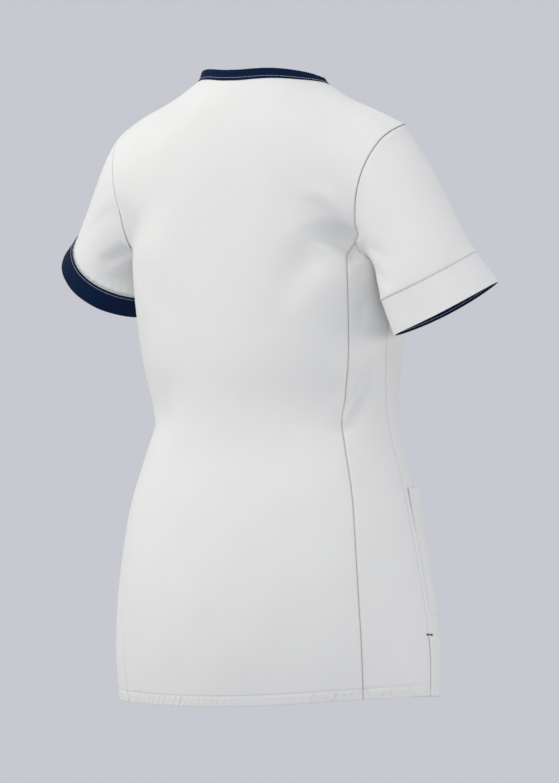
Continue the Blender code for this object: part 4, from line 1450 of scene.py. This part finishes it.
def sew(name, lines, tree, values):
    """Runs a tree over lines and keeps the result as one plain mesh."""
    guide = lines_object(name + "_lines", lines)
    modifier = guide.modifiers.new("sewing", "NODES")
    modifier.node_group = tree
    for item in tree.interface.items_tree:
        if item.in_out == "INPUT" and item.name in values:
            modifier[item.identifier] = values[item.name]
    depsgraph = bpy.context.evaluated_depsgraph_get()
    data = bpy.data.meshes.new_from_object(guide.evaluated_get(depsgraph))
    data.name = name
    bpy.data.objects.remove(guide)
    made = in_scene(name, data)
    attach(made, "root")
    print(name, "faces:", len(data.polygons))


# %% Where the stitches run
STITCH_PITCH, STITCH_LENGTH = 3.0, 2.35
WHITE_THREAD_WIDTH, PALE_THREAD_WIDTH, TACK_THREAD_WIDTH = 0.42, 0.80, 0.42
STITCH_LIFT = CLOTH / 2 + 0.06
SLIT_STITCH, FACING_STITCH, BAND_STITCH_ROW = SLIT_TURNING - 1.0, CUFF_HEIGHT - 4.0, 3


def at_distance(panel, edge, distance, rows=slice(None)):
    """The line on a placed sheet's outer face at a distance from one edge."""
    points, normals = panel["points"], panel["normals"]
    away = distance_to(points, edge)
    if edge.endswith("row"):
        points, normals, away = (np.swapaxes(a, 0, 1) for a in (points, normals, away))
    order = slice(None, None, -1) if edge.startswith("last") else slice(None)
    found = []
    for line, face, run in zip(points[rows], normals[rows], away[rows]):
        line, face, run = line[order], face[order], run[order]
        both = np.hstack([line, face])
        found.append([np.interp(distance, run, both[:, k]) for k in range(6)])
    found = np.array(found)
    faces_out = unit(found[:, 3:])
    return found[:, :3] + faces_out * STITCH_LIFT, faces_out, False


def row_line(panel, index, columns=slice(None), closed=False):
    """The line of one of a placed sheet's rows, on its outer face."""
    points, normals = panel["points"][index, columns], panel["normals"][index, columns]
    return points + normals * STITCH_LIFT, normals, closed


BODY_PANELS = ["back_centre", "front_centre", "back_side_left", "back_side_right"]
BODY_PANELS += ["front_side_left", "front_side_right"]


def hem_and_slit_lines():
    """Along every panel's hem, and beside the slits of the side panels."""
    lines = []
    for name in BODY_PANELS:
        panel = placed[name]
        lines.append(row_line(panel, HEM_HEIGHTS.index(HEM_HEIGHT), slice(2, -2)))
        if "side" in name:
            top = int((panel["points"][:, -1, 2] < SLIT_TOP_Z).sum())
            lines.append(at_distance(panel, "last_column", SLIT_STITCH, slice(1, top)))
    return lines


def pocket_lines():
    """Down both sides of each pocket, along its foot and along the hem of its mouth."""
    lines = []
    for name in ("pocket_left", "pocket_right"):
        panel = placed[name]
        for edge in ("first_column", "last_column"):
            lines.append(at_distance(panel, edge, EDGE_STITCH, slice(1, None)))
        lines.append(at_distance(panel, "first_row", EDGE_STITCH, slice(1, -1)))
        lines.append(at_distance(panel, "last_row", POCKET_HEM, slice(1, -1)))
    return lines


def cuff_line(node, along, outer):
    """A ring of stitches on a cuff layer at a distance along the arm."""
    panel = placed[node]
    path = panel["path"]
    middle = path[:, 1].mean()
    wanted = (path[:, 1] > middle) if outer else (path[:, 1] <= middle + 1e-9)
    index = int(np.argmin(np.abs(path[:, 0] - along) + np.where(wanted, 0, 1e3)))
    points, normals = panel["points"][index], panel["normals"][index]
    centre = points.mean(0)
    facing = unit(points - centre) * (1 if outer else -1)
    normals = normals * np.sign(dot(normals, facing))
    return points + normals * STITCH_LIFT, normals, True


navy_lines = [row_line(placed["neck_band"], BAND_STITCH_ROW, closed=True)]
navy_lines.append(cuff_line("cuff_facing_left", EDGE_STITCH, True))
navy_lines.append(cuff_line("cuff_facing_right", FACING_STITCH, False))
print("lines of pale stitches:", len(navy_lines))

# %% Hem, pocket and navy stitches
white_values = {"Pitch": STITCH_PITCH * MM, "Stitch length": STITCH_LENGTH * MM}
white_values |= {"Thread width": WHITE_THREAD_WIDTH * MM, "Thread": white_thread}
pale_values = white_values | {"Thread width": PALE_THREAD_WIDTH * MM, "Thread": pale_thread}
sew("hem_stitches", hem_and_slit_lines(), sewing, white_values)
sew("pocket_stitches", pocket_lines(), sewing, white_values)
sew("topstitches", navy_lines, sewing, pale_values)

# %% Bar tacks at the slits
TACK_BACK, TACK_FRONT, TACK_HEIGHT, TACK_PITCH = 6.0, 8.0, 2.0, 0.5
TACK_START, TACK_LIFT = 0.4, 0.25
TACK_Z = SLIT_TOP_Z - 1.0


def tack_line(hand):
    """A zigzag over the side seam, on both panels, at the top of a slit."""
    points, faces_out = [], []
    for side, reach in ((BACK, TACK_BACK), (FRONT, TACK_FRONT)):
        panel = placed[f"{SIDE_WORD[side]}_side_{HAND_WORD[hand]}"]
        for step in np.arange(TACK_START, reach, TACK_PITCH)[::-side]:
            line, face, _ = at_distance(panel, "last_column", step)
            points.append([np.interp(TACK_Z, line[:, 2], line[:, axis]) for axis in range(3)])
            faces_out.append(face[int(np.argmin(np.abs(line[:, 2] - TACK_Z)))])
    points, faces_out = np.array(points), np.array(faces_out)
    points[::2, 2] += TACK_HEIGHT / 2
    points[1::2, 2] -= TACK_HEIGHT / 2
    return points + faces_out * TACK_LIFT, faces_out, False


tack_values = {"Thread width": TACK_THREAD_WIDTH * MM, "Thread": navy_thread}
sew("bar_tacks", [tack_line(LEFT), tack_line(RIGHT)], tacking, tack_values)

# %% [markdown]
# The photograph was lit softly from all round, with a little more light from the left. Five large
# round lights do that: two on the camera's left, one nearly above, a low one on its right, and
# a weak one beside the camera's line of sight. Their powers were found by comparing renders with
# the photograph. The pale grey-blue surroundings fill the rest, and the floor lies below it all.

# %% Studio
SURROUNDINGS = (0.571, 0.578, 0.631)
FLOOR_Z = -1.38
FLOOR_HALF = 9.0
LIGHTS = table(
    "to_left toward up size power",
    (2.6, 2.0, 2.4, 2.4, 26.0),
    (3.8, 0.8, 2.6, 2.0, 58.0),
    (1.2, 0.8, 4.0, 2.4, 12.0),
    (-3.2, 1.8, 0.4, 2.4, 25.0),
    (-0.4, 3.2, -0.7, 2.0, 11.0),
)
LIGHT_COLOUR = (1.0, 0.985, 0.87)


def add_floor():
    """A plain pale floor, which only sends a little light up."""
    corners = [(-1, -1), (1, -1), (1, 1), (-1, 1)]
    data = bpy.data.meshes.new("floor")
    spots = [(FLOOR_HALF * x, FLOOR_HALF * y, FLOOR_Z) for x, y in corners]
    data.from_pydata(spots, [], [range(4)])
    material, tree, shader, place = start_material("pale_floor")
    colour = place.noise(60.0, 2.0).mix((0.52, 0.525, 0.56), (0.56, 0.565, 0.60))
    set_up(tree, shader, (), {"Base Color": colour, "Roughness": 0.9})
    data.materials.append(material)
    in_scene("floor", data)


def add_lights():
    """Round lights that all look at the middle of the tunic."""
    middle = (cad_box[0] + cad_box[1]) / 2
    for i, row in enumerate(rows_of(LIGHTS)):
        data = bpy.data.lights.new(f"soft_light_{i}", "AREA")
        data.shape, data.size, data.energy = "DISK", row["size"], row["power"]
        data.color = LIGHT_COLOUR
        lamp = in_scene(data.name, data)
        lamp.location = middle + toward_camera * row["toward"] - to_the_right * row["to_left"]
        lamp.location.z += row["up"]
        lamp.rotation_euler = (middle - lamp.location).to_track_quat("-Z", "Y").to_euler()


def add_surroundings():
    """Pale grey-blue light from everywhere, and colours shown as they are."""
    world = bpy.data.worlds.new("surroundings")
    world.use_nodes = True
    world.node_tree.nodes["Background"].inputs["Color"].default_value = (*SURROUNDINGS, 1)
    bpy.context.scene.world = world
    bpy.context.scene.view_settings.view_transform = "Standard"


add_floor()
add_lights()
add_surroundings()
print("lights:", len(LIGHTS["size"]))
